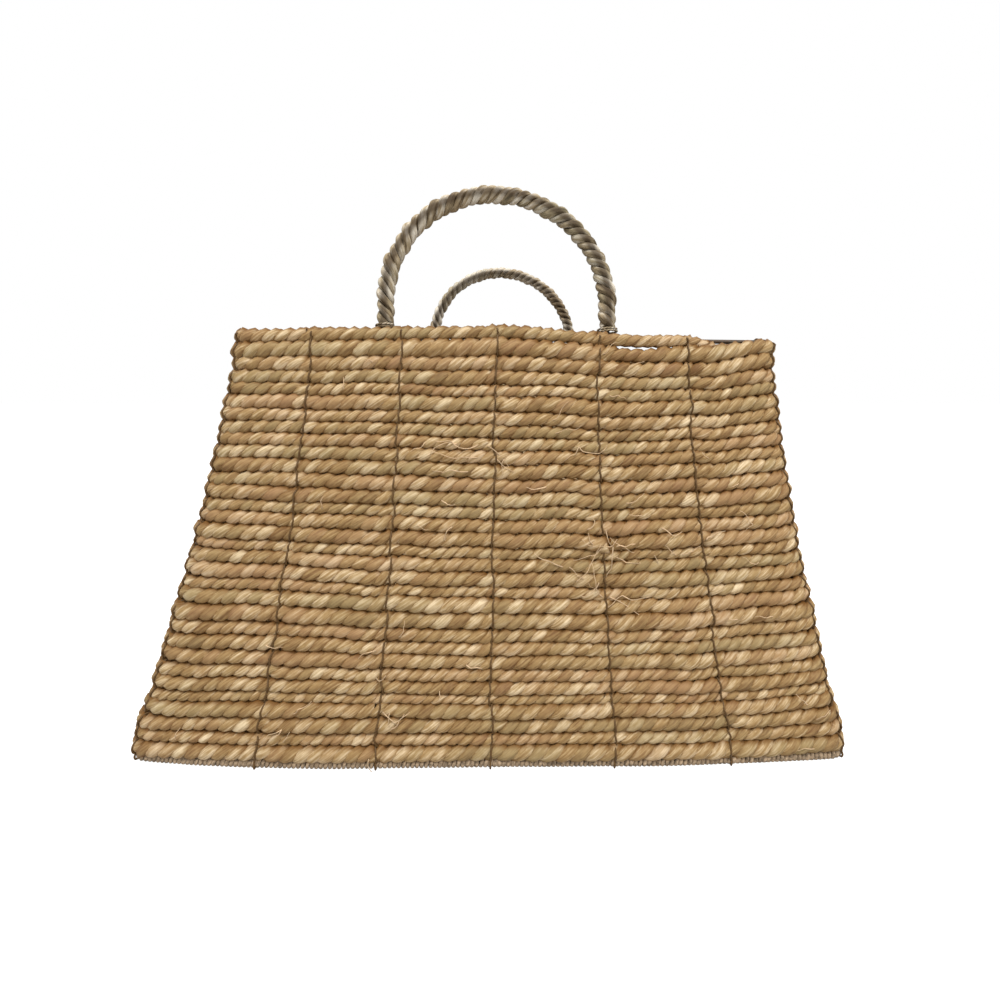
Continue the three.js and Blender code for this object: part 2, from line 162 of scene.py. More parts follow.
class BasketFrameSettings(PropertyGroup):
    """Wires of the welded frame and the base rail."""

    rim_wire_diameter: length("Rim wire", "Diameter of the rim wire", 0.003)
    base_wire_diameter: length("Base wire", "Diameter of the base wire", 0.003)
    post_diameter: length("Corner posts", "Diameter of a corner post", 0.003)
    stake_diameter: length("Stakes", "Diameter of stakes and cross wires", 0.0026)
    rope_clearance: length("Rope clearance", "Between the rope and the stakes", 0.0006)
    seat_gap: length("Seat gap", "Between pieces that touch", 0.0003)
    rail_height: length("Rail height", "Height of the rail's middle line", 0.0025)
    rail_diameter: length("Rail diameter", "Over the whipping", 0.006)
    whipping_pitch: length("Whipping pitch", "From one turn of cord to the next", 0.003)
    mat_bottom: length("Mat underside", "Height of the mat's underside", 0.0041)
    mat_thickness: length("Mat thickness", "Thickness of the mat", 0.0084)


class BasketBindingSettings(PropertyGroup):
    """Threads of the seams."""

    thread_diameter: length("Thread", "Diameter of the binding thread", 0.0013)
    pull: share("Pull", "How far a seam pulls its pairs together, in courses", 0.085)
    corner_pull: share("Corner pull", "The same at the corners", 0.1)
    squeeze: share("Squeeze", "How much thinner the rope is under a thread", 0.2)


class BasketHandleSettings(PropertyGroup):
    """Handles."""

    width: length("Width", "Between the middle lines of the legs", 0.156)
    rise: length("Rise", "From the rim wire to the hoop's middle line", 0.0965)
    shift: length("Shift", "How far the handles stand to the right", 0.004)
    slant: length("Slant", "How far the top of a hoop leans to the left", 0.003)
    rope_diameter: length("Rope diameter", "Over the strands", 0.0118)
    rope_lay: length("Rope lay", "Length of one full twist", 0.0225)
    wire_diameter: length("Wire", "Diameter of the wire inside", 0.003)
    leg_below_rim: length("Leg below the rim", "How far the wire reaches down", 0.04)
    wrap_diameter: length("Wrap cord", "Diameter of the cord at the feet", 0.0017)


class BasketFinishSettings(PropertyGroup):
    """Colours of the finishes."""

    seagrass_light: colour("Seagrass, light", "Dry outer blades", "#E6CFA9")
    seagrass_mid: colour("Seagrass, middle", "Most of the rope", "#A58658")
    seagrass_dark: colour("Seagrass, dark", "Old and shaded blades", "#73522E")
    seagrass_pink: colour("Seagrass, pinkish", "Blades dried brown", "#AC8460")
    seagrass_olive: colour("Seagrass, olive", "Blades dried green", "#988A62")
    # Painted shade, with some dirt, that darkens the grooves between strands and the sides that face the
    # next course
    groove_shade: colour("Groove", "Dirt and shade between strands", "#6A420C")
    handle_light: colour("Handle rope, light", "Worn outer fibres", "#E4DAC8")
    handle_mid: colour("Handle rope, middle", "Most of the handle rope", "#AB9878")
    handle_dark: colour("Handle rope, dark", "Its grooves", "#3E2E1A")
    whipping: colour("Whipping", "Cord of the base rail", "#9A856C")
    thread: colour("Thread", "Binding thread", "#5C4220")
    wire: colour("Wire", "Blackened steel", "#4E4A40")
    fibre: colour("Loose fibre", "Frayed ends", "#CDB08C")


class BasketStageSettings(PropertyGroup):
    """Camera and light."""

    camera_place: FloatVectorProperty(
        name="Camera",
        description="Where the camera stands",
        default=(0.01, -0.4714, 0.2453),
        unit="LENGTH",
        subtype="TRANSLATION",
    )
    camera_tilt: FloatProperty(
        name="Tilt",
        description="How far the camera looks down",
        default=math.radians(5.39),
        unit="ROTATION",
        subtype="ANGLE",
    )
    camera_turn: FloatProperty(
        name="Turn",
        description="How far the camera looks to the right",
        default=math.radians(0.81),
        unit="ROTATION",
        subtype="ANGLE",
    )
    lens: FloatProperty(
        name="Lens", description="Focal length in millimetres", default=17.58, unit="CAMERA"
    )
    key_strength: FloatProperty(name="Key light", description="Watts", default=38, subtype="POWER")


# Places on the wall


def swell(at, flat):
    """Swell of a wall at a share of its straight part: full in the middle, none at the corners."""
    return np.sin(np.clip((1 - np.abs(at)) / (1 - flat), 0, 1) * math.pi / 2)


class Wall:
    """The wall's plan at every height, and places on it by direction outwards and shares."""

    # Flare of the end walls, as shares of the height: its middle and spread low down, its spread high up
    low_flare = (0.035, 0.05)
    high_flare = 0.06
    # The front right corner moves sideways by this share of its way forward
    forward_aside = 0.7
    # The rail is drawn in from these shares of the front and the end wall on, up to this height
    tuck_across = 0.85
    tuck_deep = 0.7
    tuck_height = 0.005
    # The sag of the front runs out at this share of the end walls
    sag_end = 0.6
    # The rim wire lies lower than its CAD node, and sags further than the top course
    wire_drop = 0.001
    wire_sag = 1.45

    def __init__(self):
        self.settings = s = bpy.context.scene.basket_wall
        self.rope_radius = s.rope_diameter / 2
        self.pitch = s.rope_diameter + s.course_gap
        self.top = len(COURSE_HEIGHTS) - 1
        inset = (s.base_depth - s.rim_depth) / 2
        self.rise = math.sqrt((self.top * self.pitch) ** 2 - inset**2)
        self.lean = math.atan2(inset, self.rise)
        wires = bpy.context.scene.basket_frame
        self.stake_inset = self.rope_radius + wires.rope_clearance + wires.stake_diameter / 2
        low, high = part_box("rim_wire")
        self.rim_height = (low.z + high.z) / 2

    def halves(self, height):
        """Half the straight part of the long and of the end walls at a height."""
        s = self.settings
        level = (height - s.lowest_height) / self.rise
        edge = self.rope_radius + s.corner_radius
        half_x = (s.base_width + (s.rim_width - s.base_width) * level) / 2 - edge
        # The end walls draw in at half height and flare at the floor and the rim
        middle, spread = self.low_flare
        flare = np.exp(-(((level - middle) / spread) ** 2))
        flare = flare + np.exp(-(((1 - level) / self.high_flare) ** 2))
        half_x = half_x + s.end_flare * flare - s.end_waist * np.sin(math.pi * level) ** 2
        half_y = (s.base_depth + (s.rim_depth - s.base_depth) * level) / 2 - edge
        return half_x, half_y

    def place(self, angle, across, deep, height, inset=0.0):
        """Points on the rope's middle line, or moved inwards from it by an inset."""
        s = self.settings
        angle, across, deep, height = np.broadcast_arrays(
            *(np.asarray(v, float) for v in (angle, across, deep, height))
        )
        level = (height - s.lowest_height) / self.rise
        half_x, half_y = self.halves(height)
        bow = s.long_bow * swell(across, s.flat_share) + s.end_bow * swell(deep, s.flat_share)
        reach = s.corner_radius - inset + bow * (1 - level)
        # At the floor the front right corner stands forward, the rail is drawn in at the front left
        right = np.maximum(across, 0) ** 2 * (1 - level)
        left = np.clip((-across - self.tuck_across) / (1 - self.tuck_across), 0, 1)
        left = left * np.clip((-deep - self.tuck_deep) / (1 - self.tuck_deep), 0, 1)
        reach = reach - s.rail_tuck * left * np.exp(-((height / self.tuck_height) ** 2))
        x = s.rim_shift * level + across * half_x + np.cos(angle) * reach
        x = x - self.forward_aside * s.corner_forward * right
        y = deep * half_y + np.sin(angle) * reach - s.corner_forward * right * (1 - deep) / 2
        return np.stack([x, y, height], -1)

    def fade(self, deep):
        """One along the front, and less and less along the ends."""
        return np.clip((self.sag_end - deep) / (self.sag_end + 1), 0, 1)

    def sag(self, across, deep):
        """How low the rim hangs, as a share of the full sag."""
        return np.interp(across, SAG_PLACES, SAG_SHARES) * self.fade(deep)

    def wire_height(self, across, deep):
        """Height of the rim wire's middle line."""
        sag = self.wire_drop + self.wire_sag * self.settings.rim_sag * self.sag(across, deep)
        return self.rim_height - sag

    def turn(self, count):
        """Stations once round the wall, against the clock from the back right corner."""
        s = self.settings
        half_x, half_y = self.halves(s.lowest_height + self.rise / 2)
        corner = s.corner_radius * math.pi / 2
        steps = [corner, 2 * half_x, corner, 2 * half_y, corner, 2 * half_x, corner, 2 * half_y]
        knots = np.concatenate([[0], np.cumsum(steps)])
        run = np.linspace(0, knots[-1], count + 1)
        quarter = math.pi / 2
        angle = np.interp(run, knots, np.array([0, 1, 1, 2, 2, 3, 3, 4, 4]) * quarter)
        across = np.interp(run, knots, [1, 1, -1, -1, -1, -1, 1, 1, 1])
        deep = np.interp(run, knots, [1, 1, 1, 1, -1, -1, -1, -1, 1])
        return run, angle, across, deep, knots


def wander(run, span, seed):
    """Smooth noise from -1 to 1 along a run, with a new value about every span."""
    at = np.asarray(run) / span
    values = np.random.default_rng(seed).uniform(-1, 1, int(at.max()) + 3)
    whole = np.floor(at).astype(int)
    part = at - whole
    part = part * part * (3 - 2 * part)
    return values[whole] * (1 - part) + values[whole + 1] * part


def uneven(run, *waves):
    """One, made uneven along a run by waves of noise, each with its share, span and seed."""
    size = 1.0
    for part, span, seed in waves:
        size = size + part * wander(run, span, seed)
    return size


def seam_places(wall):
    """Every seam and corner: its name, and its direction, shares and courses by level."""
    level = np.linspace(0, 1, wall.top + 1)
    places = {}
    for side, deep, angle in (("front", -1, 1.5), ("back", 1, 0.5)):
        for i, (base, rim) in enumerate(LONG_SEAMS):
            places[f"{side}_{i + 1}"] = (
                angle * math.pi, base + (rim - base) * level, deep, wall.top + 1,
            )
    for side, across, angle in (("left", -1, 1), ("right", 1, 0)):
        for i, deep in enumerate(END_SEAMS):
            places[f"{side}_{i + 1}"] = (
                angle * math.pi, across, deep, wall.top + (side == "left"),
            )
    for name, (across, deep, degrees) in CORNERS.items():
        places[name] = (
            math.radians(degrees), across, deep, wall.top + (name != "front_right"),
        )
    return places


class Winding:
    """The wound rope: middle line, radius and direction outwards at every station."""

    # Each course starts to climb at this share of the front wall
    climb_start = 0.8
    # How far the lowest and the highest climb have come at the corner and in the middle of the end wall
    corner_climb = (0.15, 0.55)
    end_climb = (0.3, 0.8)
    # How much of the uneven heights the wall takes on
    unevenness = 0.8
    # How far along the rope a seam and a corner pull, and what share of it the top course takes
    seam_reach = 0.006
    corner_reach = 0.01
    top_pull = 0.3
    # How fast the sag of the rim and the droop of the middle die away over the courses
    sag_power = 1.5
    droop_power = 1.4
    # The two lowest courses settle on the rail and the top one rides up. All sway in and out: how far,
    # the span of a wave and its seed
    settling = (0.0008, 0.0003)
    top_lift = 0.0004
    sway = (0.0004, 0.05, 5)
    # The slit under the last course: shares of the front wall, the way to its full height, its height
    slit = (0.41, 0.62)
    slit_edge = 0.04
    slit_height = 0.0003
    # The course below the last one is thin from the second to the third of these places, and a little
    # more so under the slit
    thin_places = (0.28, 0.45, 0.66, 0.8)
    thinning = 0.17
    slit_thinning = 0.02
    # What a course fills: a share of its half height, and more for all, for the lowest and the highest
    filling = 1.26
    filled_more = 0.0004
    filled_low = 0.0006
    filled_high = 0.0007
    # What stays open at the slit, and to the right of it
    open_slit = 0.24
    open_past = 0.2
    # The beginning: the share of a turn before which it can't start, its least height, how far in it
    # lies and how much of its own height it fills
    lead_start = 0.7
    lead_height = 0.0013
    lead_inset = 0.6
    lead_filling = 1.5

    def __init__(self, wall):
        self.wall = wall
        s = wall.settings
        pull = bpy.context.scene.basket_binding
        run, self.angle, self.across, self.deep, knots = wall.turn(s.stations)
        self.run = run
        courses = np.arange(wall.top + 1)[:, None]
        climb = self.climbs(run, knots)
        travelled = courses * run[-1] + run
        heights = np.array(COURSE_HEIGHTS) / np.mean(COURSE_HEIGHTS)
        heights = 1 + self.unevenness * (heights - 1)
        after = np.append(heights[1:], heights[-1])
        thick = heights[:, None] + (after - heights)[:, None] * climb
        thick = thick * uneven(travelled, *THICKNESS_WAVES)
        stacked = np.cumsum(thick, 0) - thick / 2 - thick[0] / 2
        top = wall.top
        # The level of a course, in courses above the lowest, keeps each resting on the one below
        low = climb[0] * (top * stacked[1, 0] / stacked[top, 0])
        high = top * stacked[top - 1] / stacked[top]
        high = high + (top - high) * climb[top - 1]
        scale = (high - low) / stacked[top - 1]
        level = low + scale * stacked
        height = s.lowest_height + wall.rise * level / top
        radius = thick * scale * wall.pitch / 2
        half = radius
        # Thread seams pull the courses together in pairs and squeeze them
        sign = np.where(courses % 2 == 0, 1.0, -1.0)
        shift = np.zeros_like(height)
        here = wall.place(self.angle, self.across, self.deep, height)
        for name, (angle, across, deep, _) in seam_places(wall).items():
            corner = name in CORNERS
            across_all = np.broadcast_to(across, top + 1)[:, None]
            away = np.linalg.norm(here - wall.place(angle, across_all, deep, height), axis=-1)
            reach = self.corner_reach if corner else self.seam_reach
            near = np.exp(-((away / reach) ** 2))
            # The last course ends before this corner, so the one below it has no partner there
            if name == "front_right":
                near[top - 1 :] = 0
            amount = pull.corner_pull if corner else pull.pull
            way = sign if name in SHIFTED_SEAMS else -sign
            shift = shift + near * amount * wall.pitch * way
            radius = radius * (1 - pull.squeeze * near**2)
        height = height + shift * np.where(courses == top, self.top_pull, 1)
        # The rim hangs at the right, and the courses under it less and less
        hang = s.rim_sag * wall.sag(self.across, self.deep)
        height = height - hang * np.clip((courses - top / 2) / (top / 2), 0, 1) ** self.sag_power
        # The courses half way up the front hang too
        droop = s.droop * np.interp(self.across, DROOP_PLACES, DROOP_SHARES)
        droop = droop * wall.fade(self.deep)
        height = height - droop * np.sin(math.pi * courses / top).clip(0) ** self.droop_power
        # The last course is lifted off the one below it for a hand's breadth
        front = self.deep == -1
        window = np.clip((self.across - self.slit[0]) / self.slit_edge, 0, 1)
        window = window * np.clip((self.slit[1] - self.across) / self.slit_edge, 0, 1) * front
        thin = np.interp(self.across, self.thin_places, [0, 1, 1, 0]) * front
        height[0] -= self.settling[0]
        height[1] -= self.settling[1]
        height[top] += self.top_lift + self.slit_height * window
        radius[top - 1] *= 1 - self.thinning * thin - self.slit_thinning * window
        most, span, seed = self.sway
        sway = most * wander(travelled, span, seed)
        self.points = wall.place(self.angle, self.across, self.deep, height, sway)
        self.radius = radius * (1 + s.rope_fullness)
        # Half of what a course has to fill to leave no light between it and the next ones
        past = np.clip((self.across - self.slit[1]) / self.slit_edge, 0, 1) * front
        self.filled = self.filling * half + np.abs(shift) + self.filled_more
        self.filled = self.filled + self.filled_low * (courses < 2)
        self.filled[top] = self.filled[top] * (1 - self.open_slit * window - self.open_past * past)
        self.filled[top - 2 : top] += self.filled_high * (1 - window) * (1 - past)
        self.filled[top - 1] *= 1 - self.open_slit * window
        self.outward = np.broadcast_to(
            np.stack([np.cos(self.angle), np.sin(self.angle), 0 * self.angle], -1),
            self.points.shape,
        )

    def climbs(self, run, knots):
        """How far each course has climbed at every station, from 0 to 1."""
        top = self.wall.top
        flat = self.wall.settings.flat_share
        start = knots[5] + (knots[6] - knots[5]) * (1 + self.climb_start) / 2
        ends = [knots[7] + (knots[8] - knots[7]) * (1 + at) / 2 for at in (-flat, flat)]
        rows = []
        for course in range(top + 1):
            part = min(course / (top - 1), 1)
            corner = self.corner_climb[0] + (self.corner_climb[1] - self.corner_climb[0]) * part
            end = self.end_climb[0] + (self.end_climb[1] - self.end_climb[0]) * part
            at = [start, knots[6], knots[7], *ends, knots[8]]
            rows.append(np.interp(run, at, [0, corner, corner, end, end, 1]))
        return np.array(rows)

    def beginning(self):
        """The rope's thin beginning, which lies on the base rail under its own first climb."""
        s = self.wall.settings
        rail_top = s.lowest_height - self.settling[0] - self.wall.rope_radius
        size = self.radius[0] / (1 + s.rope_fullness)
        gap = self.points[0, :, 2] - size - rail_top
        after = np.arange(s.stations + 1) > self.lead_start * s.stations
        under = slice(int(np.argmax((gap > self.lead_height) & after)), s.stations)
        half = gap[under] / 2
        inset = self.lead_inset * (self.wall.rope_radius - half)
        centre = self.wall.place(
            self.angle[under], self.across[under], self.deep[under], rail_top + half, inset
        )
        filled = self.lead_filling * half + self.filled_low
        return centre, self.outward[0, under], half * (1 + s.rope_fullness), filled

    def station(self, front_share):
        """The station of a share of the front wall."""
        on_front = (self.deep == -1) & (np.abs(self.angle - 1.5 * math.pi) < TINY)
        return int(np.argmin(np.where(on_front, np.abs(self.across - front_share), np.inf)))

    def flat(self, values):
        """Values of all courses one after the other, along the rope."""
        return np.concatenate([values[:, :-1].reshape(-1, *values.shape[2:]), values[-1:, -1]])

    def at_seam(self, place):
        """Middle of every course at a seam, and the radius there."""
        angle, across, deep, count = place
        points, radii = [], []
        for course in range(count):
            part = course / self.wall.top
            where = np.atleast_1d(across)
            share_here = where[course] if len(where) > 1 else where[0]
            guess = self.wall.place(
                angle, share_here, deep, self.wall.settings.lowest_height + part * self.wall.rise
            )
            flat_away = np.linalg.norm((self.points[course] - guess)[:, :2], axis=-1)
            i = int(np.argmin(flat_away))
            points.append(self.points[course, i])
            radii.append(self.radius[course, i])
        return np.array(points), np.array(radii)


# Meshes


def unit(vectors):
    """Vectors of length one."""
    return vectors / np.linalg.norm(vectors, axis=-1, keepdims=True)


def smooth_path(points, steps):
    """A smooth line through points, with some steps from each to the next."""
    points = np.asarray(points, float)
    before = np.vstack([2 * points[0] - points[1], points[:-2]])
    after = np.vstack([points[2:], 2 * points[-1] - points[-2]])
    t = (np.arange(steps) / steps)[:, None, None]
    a, b, c, d = before, points[:-1], points[1:], after
    line = 0.5 * (
        2 * b + (c - a) * t + (2 * a - 5 * b + 4 * c - d) * t**2 + (3 * b - a - 3 * c + d) * t**3
    )
    return np.vstack([line.transpose(1, 0, 2).reshape(-1, 3), points[-1]])


def tubes(name, paths, radii, sides, closed=False):
    """One mesh of round tubes along paths, each with a radius or one for every point."""
    curve = bpy.data.curves.new(name, "CURVE")
    curve.dimensions = "3D"
    curve.bevel_depth = 1.0
    curve.bevel_resolution = sides // 2 - 2
    for path, radius in zip(paths, radii):
        spline = curve.splines.new("POLY")
        spline.use_cyclic_u = closed
        spline.points.add(len(path) - 1)
        spline.points.foreach_set("co", np.column_stack([path, np.ones(len(path))]).ravel())
        spline.points.foreach_set("radius", np.broadcast_to(radius, len(path)).astype(np.float32))
    carrier = bpy.data.objects.new(name, curve)
    bpy.context.scene.collection.objects.link(carrier)
    depsgraph = bpy.context.evaluated_depsgraph_get()
    mesh = bpy.data.meshes.new_from_object(carrier.evaluated_get(depsgraph))
    bpy.data.objects.remove(carrier)
    bpy.data.curves.remove(curve)
    mesh.name = name
    return mesh


def points_of(mesh):
    """The places of a mesh's vertices."""
    places = np.empty(len(mesh.vertices) * 3, np.float32)
    mesh.vertices.foreach_get("co", places)
    return places.reshape(-1, 3).astype(float)


def set_points(mesh, places):
    """Moves a mesh's vertices."""
    mesh.vertices.foreach_set("co", np.asarray(places, np.float32).ravel())


def note(mesh, name, values):
    """Keeps a number or a vector for each vertex, for the material to read."""
    values = np.asarray(values, np.float32)
    kind, key = ("FLOAT_VECTOR", "vector") if values.ndim == 2 else ("FLOAT", "value")
    mesh.attributes.new(name, kind, "POINT").data.foreach_set(key, values.ravel())


def add_piece(mesh, material, slot, *nodes):
    """Closes the ends of a mesh and puts it in the scene as a piece of the basket."""
    body = bmesh.new()
    body.from_mesh(mesh)
    bmesh.ops.holes_fill(body, edges=[e for e in body.edges if e.is_boundary], sides=0)
    for face in body.faces:
        face.smooth = len(face.verts) == 4
    body.to_mesh(mesh)
    body.free()
    mesh.materials.clear()
    mesh.materials.append(material)
    piece = bpy.data.objects.new(mesh.name, mesh)
    bpy.context.scene.collection.objects.link(piece)
    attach(piece, "root")
    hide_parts(*nodes)


# How strands lie in a rope: shares of its radius to their middles and for their own radius, how far they
# spring back when pressed, and how lumpy they are
SOFT_PAIR = (0.36, 0.7, 0.5, 0.05)
HARD_STRANDS = (0.57, 0.47, 1.0, 0.19)
# Share of the radius at which a strand begins to be pressed, and the least height of its flat side
PRESSED_FROM = 0.86
FLAT_SIDE = 0.03
# Shares of the radius where the painted shade and dirt of the grooves end, and how far from there the
# clear crown is
GROOVE_SHADE_END = 0.58
CROWN_RISE = 0.38
# Length in which a strand turns once about itself, the lengths of its lumps, and the long ones' share
STRAND_TURN = 0.045
LONG_LUMP = 0.011
SHORT_LUMP = 0.004
LONG_LUMP_SHARE = 0.08
# Each strand and each rope reads another part of the noise
STRAND_SHIFT = 3.7
SEED_SHIFT = 0.1
# Tone and tint of a visible stretch: share of its own chance, share and span of a slow wave
TONE_MIX = (0.65, 0.35, 0.12)
TINT_MIX = (0.4, 0.75, 0.1)


def twisted_rope(
    name, centre, outward, radius, phase, seed, sides=10, strands=2, filled=None, paler=0.0
):
    """A mesh of strands twisted round each other: two soft ones press flat, hard ones don't.

    Filled is half the height that they fill at least, and paler is added to their tone.
    """
    spread, thick, give, lumpy = SOFT_PAIR if strands == 2 else HARD_STRANDS
    own_tone, slow_tone, tone_span = TONE_MIX
    own_tint, slow_tint, tint_span = TINT_MIX
    filled = 0 * radius if filled is None else filled
    along = unit(np.gradient(centre, axis=0))
    out = unit(outward - (outward * along).sum(-1, keepdims=True) * along)
    over = np.cross(along, out)
    run = np.concatenate([[0], np.cumsum(np.linalg.norm(np.diff(centre, axis=0), axis=-1))])
    rng = np.random.default_rng(seed)
    paths, sizes, heads, tones, tints = [], [], [], [], []
    for strand in range(strands):
        turn = phase + 2 * math.pi * strand / strands
        head = np.cos(turn)[:, None] * out - np.sin(turn)[:, None] * over
        long_wave = (LONG_LUMP_SHARE, LONG_LUMP, seed + 11 + strand)
        lump = uneven(run, long_wave, (lumpy, SHORT_LUMP, seed + 15 + strand))
        # Of hard strands, each is a little thinner than the one before
        if strands > 2:
            lump = lump * (1.1 - 0.09 * strand)
        paths.append(centre + head * (radius * spread)[:, None])
        sizes.append(radius * thick * lump)
        heads.append(head)
        half_turn = np.floor((turn + math.pi / 2) / math.pi).astype(int)
        half_turn -= half_turn.min()
        own = rng.uniform(-1, 1, (2, half_turn.max() + 1))
        slow = slow_tone * wander(run, tone_span, seed + 21 + strand)
        tones.append(paler + own_tone * own[0, half_turn] + slow)
        tints.append(own_tint * own[1, half_turn] + slow_tint * wander(run, tint_span, seed + 31))
    mesh = tubes(name, paths, sizes, sides)
    count = len(centre)
    places = points_of(mesh).reshape(strands, count, sides, 3)
    middle = centre[None, :, None]
    heads = np.array(heads)[:, :, None]
    rope = radius[None, :, None, None]
    away = places - middle
    # The inner side of a strand lies flat against the other one
    reach = (away * heads).sum(-1, keepdims=True)
    away = away + (np.maximum(reach, FLAT_SIDE * rope) - reach) * heads
    # Outwards the soft strand is pressed towards a round rope
    far = np.linalg.norm(away, axis=-1, keepdims=True)
    firm = PRESSED_FROM * rope
    pressed = np.where(far > firm, firm + (far - firm) * give, far)
    # How far out each point lies: the parts nearer the middle, in the grooves, get painted shade from
    # this
    note(mesh, "crown", np.clip((pressed / rope - GROOVE_SHADE_END) / CROWN_RISE, 0, 1).ravel())
    # Up and down, the strands fill the hollows that face the next course
    upright = np.abs((away * over[None, :, None]).sum(-1, keepdims=True)) / np.maximum(far, TINY)
    pressed = np.maximum(pressed, filled[None, :, None, None] * upright**3)
    away = away * pressed / np.maximum(far, TINY)
    set_points(mesh, middle + away)
    # Sides that face the next course, rather than outwards, get painted shade from this
    facing = (away * out[None, :, None]).sum(-1) / np.maximum(pressed[..., 0], TINY)
    note(mesh, "facing", facing.ravel())
    # Places in the strand itself, which turn with it, so that streaks run along its blades
    own_turn = (run * 2 * math.pi / STRAND_TURN)[None, :, None]
    from_strand = away - heads * rope * spread
    x = (from_strand * out[None, :, None]).sum(-1)
    y = (from_strand * over[None, :, None]).sum(-1)
    shift = STRAND_SHIFT * np.arange(strands)[:, None, None]
    fibre = [
        x * np.cos(own_turn) - y * np.sin(own_turn),
        x * np.sin(own_turn) + y * np.cos(own_turn),
        run[None, :, None] + shift + 0 * x + seed * SEED_SHIFT,
    ]
    note(mesh, "fibre", np.stack(fibre, -1).reshape(-1, 3))
    each = np.ones((1, 1, sides))
    note(mesh, "tone", (np.array(tones)[:, :, None] * each).ravel())
    note(mesh, "tint", (np.array(tints)[:, :, None] * each).ravel())
    return mesh


def lay_phase(centre, lay):
    """Angle of the twist along a rope's middle line."""
    steps = np.linalg.norm(np.diff(centre, axis=0), axis=-1)
    mean_lay = (lay[1:] + lay[:-1]) / 2
    return np.concatenate([[0], np.cumsum(2 * math.pi * steps / mean_lay)])


# Finishes


def add_node(tree, kind, settings=None, values=None, links=None):
    """Adds a shader node with its settings, its input values and the links into it."""
    node = tree.nodes.new(kind)
    for key, value in (settings or {}).items():
        if key == "ramp":
            for extra in value[2:]:
                node.color_ramp.elements.new(extra[0])
            stops = sorted(value, key=lambda stop: stop[0])
            for element, (position, shade) in zip(node.color_ramp.elements, stops):
                element.position = position
                element.color = shade
        else:
            setattr(node, key, value)
    for key, value in (values or {}).items():
        node.inputs[key].default_value = value
    for key, socket in (links or {}).items():
        tree.links.new(socket, node.inputs[key])
    return node


def new_finish(name):
    """An empty material: its node tree and its shader."""
    material = bpy.data.materials.get(name) or bpy.data.materials.new(name)
    material.use_nodes = True
    tree = material.node_tree
    tree.nodes.clear()
    shader = add_node(tree, "ShaderNodeBsdfPrincipled")
    add_node(tree, "ShaderNodeOutputMaterial", links={"Surface": shader.outputs["BSDF"]})
    return material, tree, shader


# Length of a blade's strips, width and length of a stain, and the relief of streaks and of hairs
STRIP_LENGTH = 0.018
STAIN_WIDTH = 0.0025
STAIN_LENGTH = 0.005
STREAK_RELIEF = 0.0004
HAIR_RELIEF = 0.0002
# How much a stretch's own tone, the streaks and the stains weigh in the colour
TONE_WEIGHT = 0.24
STREAK_WEIGHT = 0.9
STAIN_WEIGHT = 0.6


